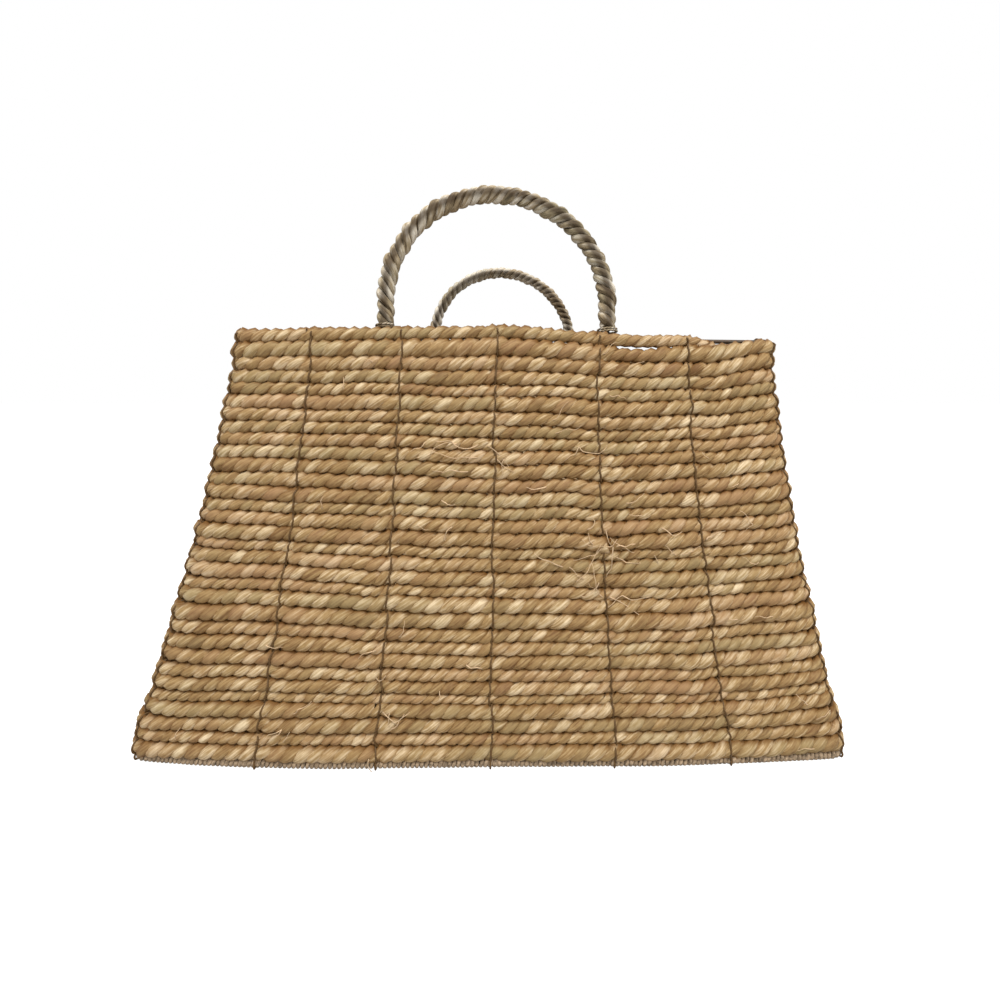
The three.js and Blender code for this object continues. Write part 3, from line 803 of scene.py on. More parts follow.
def twisted_finish(name, light, middle, dark, warm, cool, groove_shade, contrast, strip):
    """Plant-fibre rope: every visible stretch of a strand has its own tone, with streaks along it, and
    its grooves take painted shade.
    """
    material, tree, shader = new_finish(name)
    fibre, tone, tint, crown, facing = (
        add_node(tree, "ShaderNodeAttribute", {"attribute_name": kept})
        for kept in ("fibre", "tone", "tint", "crown", "facing")
    )
    # Blades split into strips that run for about 18 mm: real ones are half as wide, too fine to show
    stretched = add_node(
        tree,
        "ShaderNodeMapping",
        values={"Scale": (1 / strip, 1 / strip, 1 / STRIP_LENGTH)},
        links={"Vector": fibre.outputs["Vector"]},
    )
    streak = add_node(
        tree,
        "ShaderNodeTexNoise",
        values={"Scale": 1.0, "Detail": 3.0, "Roughness": 0.6},
        links={"Vector": stretched.outputs["Vector"]},
    )
    # Stains and dry spots about 5 mm long
    spread = add_node(
        tree,
        "ShaderNodeMapping",
        values={"Scale": (1 / STAIN_WIDTH, 1 / STAIN_WIDTH, 1 / STAIN_LENGTH)},
        links={"Vector": fibre.outputs["Vector"]},
    )
    blotch = add_node(
        tree,
        "ShaderNodeTexNoise",
        values={"Scale": 1.0, "Detail": 2.0},
        links={"Vector": spread.outputs["Vector"]},
    )
    # The stretch's own tone, the streaks and the stains, added up about the middle of the ramp
    level = add_node(
        tree,
        "ShaderNodeMath",
        {"operation": "MULTIPLY_ADD"},
        {1: TONE_WEIGHT * contrast, 2: 0.5},
        {0: tone.outputs["Fac"]},
    )
    streaked = add_node(
        tree,
        "ShaderNodeMath",
        {"operation": "MULTIPLY_ADD"},
        {1: STREAK_WEIGHT * contrast},
        {0: streak.outputs["Fac"], 2: level.outputs["Value"]},
    )
    stained = add_node(
        tree,
        "ShaderNodeMath",
        {"operation": "MULTIPLY_ADD"},
        {1: STAIN_WEIGHT * contrast},
        {0: blotch.outputs["Fac"], 2: streaked.outputs["Value"]},
    )
    # Both noises lie about a half
    centred = add_node(
        tree,
        "ShaderNodeMath",
        {"operation": "SUBTRACT"},
        {1: (STREAK_WEIGHT + STAIN_WEIGHT) / 2 * contrast},
        {0: stained.outputs["Value"]},
    )
    base = add_node(
        tree,
        "ShaderNodeValToRGB",
        {"ramp": [(0.12, dark), (0.9, light), (0.5, middle)]},
        links={"Fac": centred.outputs["Value"]},
    )
    # Some stretches turn to one side of the middle colour, some to the other
    blade = base.outputs["Color"]
    for other, way, most in ((warm, 1, 0.45), (cool, -1, 0.4)):
        part = add_node(
            tree,
            "ShaderNodeMapRange",
            values={"From Min": 0.1 * way, "From Max": 0.9 * way, "To Max": most},
            links={"Value": tint.outputs["Fac"]},
        )
        turned = add_node(
            tree,
            "ShaderNodeMix",
            {"data_type": "RGBA"},
            {7: other},
            {0: part.outputs["Result"], 6: blade},
        )
        blade = turned.outputs[2]
    # Grooves between the strands, and the sides that face the next course, are darkened: painted shade
    # where they lie in shadow, and some dirt
    low_part = add_node(
        tree,
        "ShaderNodeMapRange",
        {"interpolation_type": "SMOOTHSTEP"},
        {"From Min": 0.0, "From Max": 0.98, "To Min": 0.95, "To Max": 0.0},
        {"Value": crown.outputs["Fac"]},
    )
    side_part = add_node(
        tree,
        "ShaderNodeMath",
        {"operation": "ABSOLUTE"},
        links={0: facing.outputs["Fac"]},
    )
    steep_part = add_node(
        tree,
        "ShaderNodeMapRange",
        {"interpolation_type": "SMOOTHSTEP"},
        {"From Min": 0.15, "From Max": 0.8, "To Min": 0.85, "To Max": 0.0},
        {"Value": side_part.outputs["Value"]},
    )
    shade_and_dirt = add_node(
        tree,
        "ShaderNodeMath",
        {"operation": "MAXIMUM"},
        links={0: low_part.outputs["Result"], 1: steep_part.outputs["Result"]},
    )
    shaded_and_dirtied = add_node(
        tree,
        "ShaderNodeMix",
        {"data_type": "RGBA"},
        {7: groove_shade},
        {0: shade_and_dirt.outputs["Value"], 6: blade},
    )
    tree.links.new(shaded_and_dirtied.outputs[2], shader.inputs["Base Color"])
    relief = add_node(
        tree,
        "ShaderNodeBump",
        values={"Strength": 0.8, "Distance": STREAK_RELIEF},
        links={"Height": streak.outputs["Fac"]},
    )
    tree.links.new(relief.outputs["Normal"], shader.inputs["Normal"])
    shader.inputs["Roughness"].default_value = 0.72
    shader.inputs["Specular IOR Level"].default_value = 0.3
    return material


def plain_fibre_finish(name, base, grain, contrast, roughness):
    """Spun cord or thread: fine hairs along it and uneven dye."""
    material, tree, shader = new_finish(name)
    place = add_node(tree, "ShaderNodeTexCoord")
    speck = add_node(
        tree,
        "ShaderNodeTexNoise",
        values={"Scale": 1 / grain, "Detail": 3.0},
        links={"Vector": place.outputs["Object"]},
    )
    dark = [v * (1 - contrast) for v in base[:3]] + [1.0]
    light = [min(v * (1 + contrast), 1) for v in base[:3]] + [1.0]
    shade = add_node(
        tree,
        "ShaderNodeValToRGB",
        {"ramp": [(0.3, dark), (0.7, light)]},
        links={"Fac": speck.outputs["Fac"]},
    )
    tree.links.new(shade.outputs["Color"], shader.inputs["Base Color"])
    relief = add_node(
        tree,
        "ShaderNodeBump",
        values={"Strength": 0.6, "Distance": HAIR_RELIEF},
        links={"Height": speck.outputs["Fac"]},
    )
    tree.links.new(relief.outputs["Normal"], shader.inputs["Normal"])
    shader.inputs["Roughness"].default_value = roughness
    shader.inputs["Specular IOR Level"].default_value = 0.35
    return material


def wire_finish():
    """Blackened mild steel wire: drawn, then left with its dark scale, so it shines only a little."""
    s = bpy.context.scene.basket_finish
    material, tree, shader = new_finish("blackened_steel_wire")
    place = add_node(tree, "ShaderNodeTexCoord")
    patch = 0.002
    scale = add_node(
        tree,
        "ShaderNodeTexNoise",
        values={"Scale": 1 / patch, "Detail": 4.0},
        links={"Vector": place.outputs["Object"]},
    )
    rust = linear("#5A4130")
    shade = add_node(
        tree,
        "ShaderNodeValToRGB",
        {"ramp": [(0.35, list(s.wire)), (0.75, rust)]},
        links={"Fac": scale.outputs["Fac"]},
    )
    rough = add_node(
        tree,
        "ShaderNodeMapRange",
        values={"To Min": 0.4, "To Max": 0.7},
        links={"Value": scale.outputs["Fac"]},
    )
    tree.links.new(shade.outputs["Color"], shader.inputs["Base Color"])
    tree.links.new(rough.outputs["Result"], shader.inputs["Roughness"])
    shader.inputs["Metallic"].default_value = 0.6
    return material


def seagrass_finish():
    """Twisted seagrass: flat dried blades spun by hand, matt, straw to brown with olive stretches."""
    s = bpy.context.scene.basket_finish
    return twisted_finish(
        "twisted_seagrass",
        light=list(s.seagrass_light),
        middle=list(s.seagrass_mid),
        dark=list(s.seagrass_dark),
        warm=list(s.seagrass_pink),
        cool=list(s.seagrass_olive),
        # Painted shade, with some dirt, for the grooves
        groove_shade=list(s.groove_shade),
        contrast=1.12,
        strip=0.001,
    )


def handle_finish():
    """Hard-twisted rush rope: greyer and tighter, rubbed pale where hands hold it."""
    s = bpy.context.scene.basket_finish
    return twisted_finish(
        "twisted_rush",
        light=list(s.handle_light),
        middle=list(s.handle_mid),
        dark=list(s.handle_dark),
        warm=linear("#9A7F5E"),
        cool=linear("#8A8468"),
        # The dark colour also paints the shade in the grooves
        groove_shade=list(s.handle_dark),
        contrast=1.55,
        strip=0.0013,
    )


def whipping_finish():
    """Weathered raffia cord: wound close by hand, greyish brown, with uneven strands."""
    s = bpy.context.scene.basket_finish
    return plain_fibre_finish(
        "raffia_whipping", list(s.whipping), grain=0.0022, contrast=0.6, roughness=0.85
    )


def thread_finish():
    """Waxed linen thread: dyed dark brown, with a dull shine."""
    s = bpy.context.scene.basket_finish
    return plain_fibre_finish(
        "waxed_linen_thread", list(s.thread), grain=0.0008, contrast=0.35, roughness=0.55
    )


def loose_fibre_finish():
    """Split seagrass fibre: pale and papery."""
    s = bpy.context.scene.basket_finish
    return plain_fibre_finish(
        "split_seagrass_fibre", list(s.fibre), grain=0.004, contrast=0.3, roughness=0.8
    )


# Pieces


class BASKET_OT_wall_ropes(Operator):
    """Builds both lengths of the wound wall rope."""

    bl_idname = "basket.wall_ropes"
    bl_label = "Wall ropes"

    # How much a thin stretch shortens the twist
    lay_power = 0.8
    # The last end: stations over which it thins, its least share, and how far it goes in and down
    tail_stations = 10
    tail_size = 0.55
    tail_in = 0.0045
    tail_down = 0.0042
    # The splice: stations of the blunt end, how much fatter it is and how far it stands out
    blunt_stations = 12
    blunt_swell = 0.06
    proud = 0.0014
    # Stations of the next length's beginning, how much thinner it is, how much less it fills and how far
    # it lies in
    start_stations = 14
    start_thin = 0.2
    start_open = 0.15
    sunk = 0.001

    def execute(self, context):
        wall = Wall()
        winding = Winding(wall)
        s = wall.settings
        wound = winding.points, winding.outward, winding.radius, winding.filled
        lead = winding.beginning()
        centre, outward, radius, filled = (
            np.concatenate([part, winding.flat(whole)]) for part, whole in zip(lead, wound)
        )
        turn = s.stations
        first = len(lead[0])
        run = np.arange(len(radius)) * winding.run[-1] / turn
        loose = uneven(run, *TWIST_WAVES)
        full = wall.rope_radius * (1 + s.rope_fullness)
        phase = lay_phase(centre, s.rope_lay * (radius / full) ** self.lay_power * loose)
        splice = first + SPLICE_COURSE * turn + winding.station(s.flat_share)
        end = first + wall.top * turn + winding.station(ROPE_END)
        # The last end is thin and tucked in behind the rim
        tail = np.clip((end - np.arange(len(radius))) / self.tail_stations, 0, 1)
        radius = radius * (self.tail_size + (1 - self.tail_size) * tail)
        tucked = outward * self.tail_in + UP * self.tail_down
        centre = centre - tucked * (1 - tail)[:, None]
        # At the splice the first length ends blunt and proud, and the next one starts thin
        past = np.arange(len(radius)) - splice
        blunt = np.clip(1 + past / self.blunt_stations, 0, 1) * (past <= 0)
        start = np.clip(1 - past / self.start_stations, 0, 1) * (past > 0)
        radius = radius * (1 + self.blunt_swell * blunt - self.start_thin * start)
        filled = filled * (1 - self.start_open * start)
        centre = centre + outward * (self.proud * blunt - self.sunk * start)[:, None]
        finish = seagrass_finish()
        # Each length is three meshes, cut at the back right corner to keep each of them light
        cuts = {
            "wall_rope_lower": (0, first + 5 * turn, first + 10 * turn, splice),
            "wall_rope_upper": (splice + 1, first + 21 * turn, first + 26 * turn, end),
        }
        seed = 100
        for node, marks in cuts.items():
            for letter, low, high in zip("abc", marks, marks[1:]):
                part = slice(low, high + 1)
                at = centre[part].copy()
                # The blunt end reaches a little over the next length
                if high == splice:
                    at[-1, 0] += self.proud
                mesh = twisted_rope(
                    f"{node}_{letter}",
                    at,
                    outward[part],
                    radius[part],
                    phase[part],
                    seed,
                    filled=filled[part],
                )
                add_piece(mesh, finish, "seagrass_rope", node)
                seed += 50
        return {"FINISHED"}


class BASKET_OT_frame_wires(Operator):
    """Builds the rim wire, base wire, corner posts, stakes and cross wires."""

    bl_idname = "basket.frame_wires"
    bl_label = "Frame wires"

    # Upright wires stand clear of the rail from this height above it, and posts a little further in
    bend_height = 0.003
    post_inset = 0.0006
    # Points of a ring, an upright wire and a cross wire
    ring_points = 240
    upright_points = 25
    cross_points = 12

    def execute(self, context):
        wall = Wall()
        s = context.scene.basket_frame
        finish = wire_finish()
        _, angle, across, deep, _ = wall.turn(self.ring_points)
        rings = {
            "rim_wire": (wall.wire_height(across, deep), wall.stake_inset, s.rim_wire_diameter),
            "base_wire": (s.rail_height, 0.0, s.base_wire_diameter),
        }
        for name, (height, inset, diameter) in rings.items():
            ring = wall.place(angle, across, deep, height, inset)[:-1]
            mesh = tubes(name + "_round", [ring], [diameter / 2], sides=10, closed=True)
            add_piece(mesh, finish, "frame_wire", name)
        free = s.rail_height + self.bend_height
        for name, (angle, across, deep, _) in seam_places(wall).items():
            corner = name in CORNERS
            diameter = s.post_diameter if corner else s.stake_diameter
            ends = np.atleast_1d(across)
            beside = s.base_wire_diameter / 2 + s.seat_gap + self.post_inset * corner
            foot = wall.place(angle, ends[0], deep, s.rail_height, beside)
            bend = wall.place(angle, ends[0], deep, s.rail_height, wall.stake_inset)
            above = wall.place(angle, ends[0], deep, free, wall.stake_inset)
            top = wall.wire_height(ends[-1], deep) - s.rim_wire_diameter / 2 - s.seat_gap
            part = np.linspace(0, 1, self.upright_points)
            along = ends[0] + (ends[-1] - ends[0]) * part
            upright = wall.place(angle, along, deep, free + (top - free) * part, wall.stake_inset)
            # The foot leaves the rail in a rounded bend
            path = [foot, bend * 0.7 + foot * 0.3, bend * 0.8 + above * 0.2, above]
            path = np.vstack([smooth_path(path, steps=4), upright[1:]])
            node = f"corner_post_{name}" if corner else f"stake_{name}"
            mesh = tubes(node + "_round", [path], [diameter / 2], sides=8)
            add_piece(mesh, finish, "frame_wire", node)
        for i, (base, _) in enumerate(LONG_SEAMS):
            inset = wall.stake_inset + s.stake_diameter / 2 + s.seat_gap
            end = wall.place(math.pi / 2, base, 1, s.rail_height, inset)
            path = np.linspace(end * (1, -1, 1), end, self.cross_points)
            node = f"base_cross_wire_{i + 1}"
            mesh = tubes(node + "_round", [path], [s.stake_diameter / 2], sides=8)
            add_piece(mesh, finish, "frame_wire", node)
        return {"FINISHED"}


class BASKET_OT_base_whipping(Operator):
    """Winds the cord of the base rail round the base wire."""

    bl_idname = "basket.base_whipping"
    bl_label = "Base whipping"

    # How uneven the cord is and how far it sways: share or metres, span and seed
    thickness_wave = (0.16, 0.004, 51)
    sway = (0.0002, 0.02, 52)
    # Between the cord and the base wire
    core_gap = 0.0001
    # Points of the rail, points in one turn of the cord, and corners of its section
    ring_points = 1200
    steps = 10
    sides = 8

    def execute(self, context):
        wall = Wall()
        s = context.scene.basket_frame
        steps, sides = self.steps, self.sides
        _, angle, across, deep, _ = wall.turn(self.ring_points)
        ring = wall.place(angle, across, deep, s.rail_height)
        run = np.concatenate([[0], np.cumsum(np.linalg.norm(np.diff(ring, axis=0), axis=-1))])
        turns = round(run[-1] / s.whipping_pitch)
        at = np.arange(turns * steps) / (turns * steps) * run[-1]
        axis = np.stack([np.interp(at, run, ring[:, i]) for i in range(3)], -1)
        way = np.interp(at, run, angle)
        outward = np.stack([np.cos(way), np.sin(way), 0 * way], -1)
        twist = 2 * math.pi * np.arange(len(at)) / steps
        cord = s.whipping_pitch * 0.5 * uneven(at, self.thickness_wave)
        most, span, seed = self.sway
        swing = s.rail_diameter / 2 - cord + most * wander(at, span, seed)
        way = np.cos(twist)[:, None] * outward + np.sin(twist)[:, None] * UP
        path = axis + swing[:, None] * way
        mesh = tubes("base_whipping_cord", [path], [cord], sides, closed=True)
        # The cord is pressed round the wire inside, and flat where it lies on the floor
        places = points_of(mesh).reshape(len(at), sides, 3)
        away = places - axis[:, None]
        along = unit(np.gradient(axis, axis=0))[:, None]
        lengthwise = (away * along).sum(-1, keepdims=True) * along
        radial = away - lengthwise
        far = np.linalg.norm(radial, axis=-1, keepdims=True)
        core = s.base_wire_diameter / 2 + self.core_gap
        radial = radial * np.maximum(far, core) / np.maximum(far, TINY)
        places = (axis[:, None] + lengthwise + radial).reshape(-1, 3)
        places[:, 2] = np.maximum(places[:, 2], 0)
        set_points(mesh, places)
        add_piece(mesh, whipping_finish(), "whipping_cord", "base_whipping")
        return {"FINISHED"}


# How deep a thread bites: shares of the rope's radius and of its own over a row, and between two rows
ROW_BITE = (0.92, 0.4)
GAP_BITE = (0.72, 0.4)
# Where it goes in and comes out between two pairs, as shares of the rope's radius
GOES_IN = 0.3
COMES_OUT = 0.35


def binding_path(rows, radii, outward, depth, stake, thread, first_dip):
    """Line of a thread over pairs of rows, drawn in round a stake between the pairs.

    Depth is how far in the stake's middle lies, stake and thread are radii, and first_dip is the first
    gap, 0 or 1, where the thread goes in.
    """
    up = np.gradient(rows, axis=0)
    up = unit(up - (up * outward).sum(-1, keepdims=True) * outward)
    aside = np.cross(outward, up[0])
    points = []
    side = 1
    behind = depth + stake + thread
    beside = stake + thread
    for i in range(len(rows)):
        reach = radii[i] * ROW_BITE[0] + thread * ROW_BITE[1]
        for swing in (-0.5, 0.0, 0.5):
            turned = math.cos(swing) * outward + math.sin(swing) * up[i]
            # Over every second row the thread crosses to its other side
            sideways = aside * side * thread * 0.5 * (1 - 2 * (swing + 0.5) * (i % 2))
            points.append(rows[i] + turned * reach + sideways)
        if i == len(rows) - 1:
            break
        gap = (rows[i] * radii[i + 1] + rows[i + 1] * radii[i]) / (radii[i] + radii[i + 1])
        if i % 2 == first_dip:
            # In beside the stake, round behind it and out on its other side
            for inwards, sideways in (
                (-GOES_IN * radii[i], thread),
                (depth / 2, beside),
                (depth, beside),
                (behind, 0),
                (depth, -beside),
                (depth / 2, -beside),
                (-COMES_OUT * radii[i], -thread),
            ):
                points.append(gap - outward * inwards + aside * side * sideways)
            side = -side
        else:
            points.append(gap + outward * (radii[i] * GAP_BITE[0] + thread * GAP_BITE[1]))
    return points


class BASKET_OT_binding_threads(Operator):
    """Sews the courses to the stakes and posts, seam by seam."""

    bl_idname = "basket.binding_threads"
    bl_label = "Binding threads"

    # Places round the rail and round the rim wire, in radians from outwards over up
    loop_angles = (2.2, 2.9, 3.6, 4.3, 5.0, 5.7, 6.3, 6.9)
    hook_angles = (1.2, 1.9, 2.6, 3.3, 4.0, 4.7)

    def round_wire(self, middle, reach, outward, angles):
        """Points round a wire at a reach from its middle line."""
        return [middle + reach * (math.cos(a) * outward + math.sin(a) * UP) for a in angles]

    def execute(self, context):
        wall = Wall()
        winding = Winding(wall)
        wires = context.scene.basket_frame
        thread = context.scene.basket_binding.thread_diameter / 2
        finish = thread_finish()
        for name, place in seam_places(wall).items():
            angle, across, deep, _ = place
            rows, radii = winding.at_seam(place)
            outward = np.array([math.cos(angle), math.sin(angle), 0])
            stake = (wires.post_diameter if name in CORNERS else wires.stake_diameter) / 2
            first_dip = int(name in SHIFTED_SEAMS)
            path = binding_path(rows, radii, outward, wall.stake_inset, stake, thread, first_dip)
            ends = np.atleast_1d(across)
            rail = wall.place(angle, ends[0], deep, wires.rail_height)
            top = wall.wire_height(ends[-1], deep)
            rim = wall.place(angle, ends[-1], deep, top, wall.stake_inset)
            # The thread starts in a loop round the rail and ends in a hook over the rim wire
            rail_reach = wires.rail_diameter / 2 + thread
            loop = self.round_wire(rail, rail_reach, outward, self.loop_angles)
            rim_reach = wires.rim_wire_diameter / 2 + thread
            hook = self.round_wire(rim, rim_reach, outward, self.hook_angles)
            line = smooth_path([*loop, *path, *hook], steps=3)
            line[:, 2] = np.maximum(line[:, 2], thread)
            mesh = tubes(f"thread_{name}_sewn", [line], [thread], sides=6)
            add_piece(mesh, finish, "binding_thread", f"thread_{name}")
        return {"FINISHED"}


class BASKET_OT_base_mat(Operator):
    """Lays the rope of the mat in rows and sews it to the cross wires."""

    bl_idname = "basket.base_mat"
    bl_label = "Base mat"

    # Way between two points of a row, points of the border, and how far it stands up over the rows
    step = 0.003
    ring_points = 480
    border_lift = 0.001
    # Rows lie this many radii from each other, and the outer ones from the border
    row_pitch = 1.95
    border_pitch = 1.92
    # What rows and border fill: shares of the way between two rows and of the radius
    row_filling = 0.7
    border_filling = 1.12
    thickness_wave = (0.04, 0.04, 61)
    twist_wave = (0.12, 0.05, 62)

    def spread(self, wall, across, edge):
        """How far the rows of the mat spread to follow the bow of the long walls."""
        s = wall.settings
        return 1 + s.long_bow * swell(np.clip(across, -1, 1), s.flat_share) / edge

    def execute(self, context):
        wall = Wall()
        s = context.scene.basket_frame
        radius = s.mat_thickness / 2
        height = s.mat_bottom + radius
        # The border lies against the wall, over the ends of the rows and pressed round the stakes
        against = wall.rope_radius + s.seat_gap + radius
        _, angle, across, deep, _ = wall.turn(self.ring_points)
        border = wall.place(angle, across, deep, height, against) + self.border_lift * UP
        inset = against + self.border_pitch * radius
        edge = wall.place(math.pi / 2, 1.0, 1, height, inset)
        count = 2 * int(edge[1] / (self.row_pitch * radius)) + 1
        deep = np.linspace(-edge[1], edge[1], count)
        half_x, half_y = wall.halves(height)
        path = []
        for i, y in enumerate(deep):
            ends = [
                wall.place(angle, side, np.clip(y / half_y, -1, 1), height, against)[0]
                for angle, side in ((math.pi, -1), (0.0, 1))
            ]
            # The rope's own two ends reach the border, every other end of a row turns back
            start = ends[0] + (i > 0) * wall.pitch / 2
            stop = ends[1] - (i < count - 1) * wall.pitch / 2
            xs = np.arange(start, stop, self.step)
            row = np.stack([xs, y * self.spread(wall, xs / half_x, edge[1]), height + 0 * xs], -1)
            path.append(row if i % 2 == 0 else row[::-1])
            if i < count - 1:
                half = (deep[1] - deep[0]) / 2
                way = 1 if i % 2 == 0 else -1
                # Five points round the half turn into the next row, clear of the ends of both rows
                bend = np.linspace(0.3, math.pi - 0.3, 5)
                xs = path[-1][-1][0] + way * half * np.sin(bend)
                path.append(np.stack([xs, y + half - half * np.cos(bend), height + 0 * bend], -1))
        finish = seagrass_finish()
        most, span, wave_seed = self.thickness_wave
        for name, line, fill, seed in (
            ("base_mat_rope", np.vstack(path), self.row_filling * (deep[1] - deep[0]), 600),
            ("base_mat_border", border, self.border_filling * radius, 640),
        ):
            run = np.linspace(0, self.step * len(line), len(line))
            size = radius * (1 - most + most * wander(run, span, wave_seed))
            phase = lay_phase(line, wall.settings.rope_lay * uneven(run, self.twist_wave))
            up = np.broadcast_to(UP, line.shape)
            filled = fill + 0 * size
            mesh = twisted_rope(name, line, up, size, phase, seed, sides=8, filled=filled)
            add_piece(mesh, finish, "seagrass_rope", "base_mat")
        thread = context.scene.basket_binding.thread_diameter / 2
        lines = []
        for base, _ in LONG_SEAMS:
            x = wall.place(math.pi / 2, base, 1, s.rail_height)[0]
            spread = self.spread(wall, x / half_x, edge[1])
            rows = np.stack([x + 0 * deep, deep * spread, height + 0 * deep], -1)
            sizes = np.full(count, radius)
            depth = height - s.rail_height
            line = binding_path(rows, sizes, UP, depth, s.stake_diameter / 2, thread, 1)
            line = smooth_path(line, steps=3)
            line[:, 2] = np.maximum(line[:, 2], thread)
            lines.append(line)
        mesh = tubes("base_mat_threads", lines, [thread] * len(lines), sides=6)
        add_piece(mesh, thread_finish(), "binding_thread", "base_mat")
        return {"FINISHED"}


# The back hoop is bent a little wider than the front one, to the right
BACK_WIDER = 1.03
BACK_SHIFT = 0.0022


def handle_point(wall, side, along, rise):
    """A point in the plane of a handle."""
    s = bpy.context.scene.basket_handles
    wires = bpy.context.scene.basket_frame
    half_y = wall.halves(wall.rim_height)[1] + wall.settings.corner_radius
    inset = wall.stake_inset + wires.rim_wire_diameter / 2 + wires.seat_gap + s.wire_diameter / 2
    along, rise = np.broadcast_arrays(np.asarray(along, float), np.asarray(rise, float))
    if side > 0:
        along = along * BACK_WIDER + BACK_SHIFT
    return np.stack(
        [
            s.shift + along - s.slant * np.clip(rise / s.rise, 0, 1) ** 2,
            side * (half_y - inset - rise * math.sin(wall.lean)),
            wall.rim_height + rise * math.cos(wall.lean),
        ],
        -1,
    )


def hoop(wall, side, bottom, step):
    """Middle line of a handle from foot to foot, the direction out of its hoop and the way along it."""
    s = bpy.context.scene.basket_handles
    radius = s.width / 2
    leg = s.rise - radius - bottom
    total = 2 * leg + math.pi * radius
    run = np.linspace(0, total, int(total / step))
    arc = np.clip((run - leg) / radius, 0, math.pi)
    left = np.maximum(leg - run, 0)
    right = np.maximum(run - leg - math.pi * radius, 0)
    line = handle_point(
        wall, side, -radius * np.cos(arc), s.rise - radius + radius * np.sin(arc) - left - right
    )
    middle = handle_point(wall, side, 0, s.rise - radius)
    on_arc = ((arc > 0) & (arc < math.pi))[:, None]
    sideways = np.sign(line[:, :1] - middle[0]) * np.array([1.0, 0, 0])
    return line, unit(np.where(on_arc, line - middle, sideways)), run


class BASKET_OT_handles(Operator):
    """Builds the two hoop handles: a wire with twisted rope round it."""

    bl_idname = "basket.handles"
    bl_label = "Handles"

    # Between the rim wire and the foot of the rope, and the way between points of rope and wire
    foot_gap = 0.0004
    rope_step = 0.0009
    wire_step = 0.004
    # The rope is twisted loosely on the left leg and hard on the right one, where it is darker too
    slack_places = (0, 0.3, 0.45, 0.6, 1)
    slack_shares = (1.15, 1.15, 0.85, 0.85, 0.95)
    pale_places = (0, 0.35, 0.55)
    pale_shares = (0.45, 0.35, 0)

    def execute(self, context):
        wall = Wall()
        s = context.scene.basket_handles
        rope = handle_finish()
        wire = wire_finish()
        foot = context.scene.basket_frame.rim_wire_diameter / 2 + self.foot_gap
        for side, name in ((-1, "front"), (1, "back")):
            line, outward, run = hoop(wall, side, foot, self.rope_step)
            size = s.rope_diameter / 2 * uneven(run, (0.04, 0.02, 70 + side))
            part = run / run[-1]
            slack = np.interp(part, self.slack_places, self.slack_shares)
            lay = s.rope_lay * slack * uneven(run, (0.1, 0.02, 73 + side))
            # The back rope is paler as a whole
            paler = 0.15 * (side + 1) + np.interp(part, self.pale_places, self.pale_shares)
            mesh = twisted_rope(
                f"{name}_handle_rope_twist",
                line,
                outward,
                size,
                lay_phase(line, lay),
                700 + side,
                strands=3,
                paler=paler,
            )
            add_piece(mesh, rope, "handle_rope", f"{name}_handle_rope")
            core, _, _ = hoop(wall, side, -s.leg_below_rim, self.wire_step)
            mesh = tubes(f"{name}_handle_wire_round", [core], [s.wire_diameter / 2], sides=8)
            add_piece(mesh, wire, "frame_wire", f"{name}_handle_wire")
        return {"FINISHED"}


class BASKET_OT_handle_wraps(Operator):
    """Winds a cord round each foot of the handles."""

    bl_idname = "basket.handle_wraps"
    bl_label = "Handle wraps"

    turn_count = 2
    points = 90
    cord_lay = 0.005
    # Points over which an end runs out, and how thin it gets
    end_points = 6
    end_size = 0.5
    # How far the cord bites into the rope, how wavy it lies, and how deep its first turn is
    bite = 0.92
    wave = 0.03
    sunk = 0.0017
    # The front right wrap has slipped down and spread
    slipped_sunk = 0.0043
    slipped_spread = 1.05

    def execute(self, context):
        wall = Wall()
        s = context.scene.basket_handles
        finish = handle_finish()
        cord = s.wrap_diameter / 2
        foot = context.scene.basket_frame.rim_wire_diameter / 2
        for side, name in ((-1, "front"), (1, "back")):
            across = np.array([0, -side * math.cos(wall.lean), -math.sin(wall.lean)])
            for leg, leg_name in ((-1, "left"), (1, "right")):
                slipped = side < 0 < leg
                turns = np.linspace(0, self.turn_count, self.points)
                wavy = 1 + self.wave * np.sin(turns * 9 + leg)
                swing = (self.bite * s.rope_diameter / 2 + cord) * wavy
                swing = swing * (self.slipped_spread if slipped else 1)
                angle = 2 * math.pi * turns
                sunk = self.slipped_sunk if slipped else self.sunk
                rise = foot + cord - sunk + s.wrap_diameter * turns
                line = handle_point(wall, side, leg * s.width / 2 + swing * np.cos(angle), rise)
                line = line + across * (swing * np.sin(angle))[:, None]
                middle = handle_point(wall, side, leg * s.width / 2, rise)
                outward = unit(line - middle)
                size = np.full(len(line), cord)
                run_out = np.linspace(self.end_size, 1, self.end_points)
                size[: self.end_points] *= run_out
                size[-self.end_points :] *= run_out[::-1]
                phase = lay_phase(line, np.full(len(line), self.cord_lay))
                seed = 800 + leg + 3 * side
                node = f"{name}_handle_wrap_{leg_name}"
                mesh = twisted_rope(node + "_cord", line, outward, size, phase, seed, sides=8)
                add_piece(mesh, finish, "handle_rope", node)
        return {"FINISHED"}


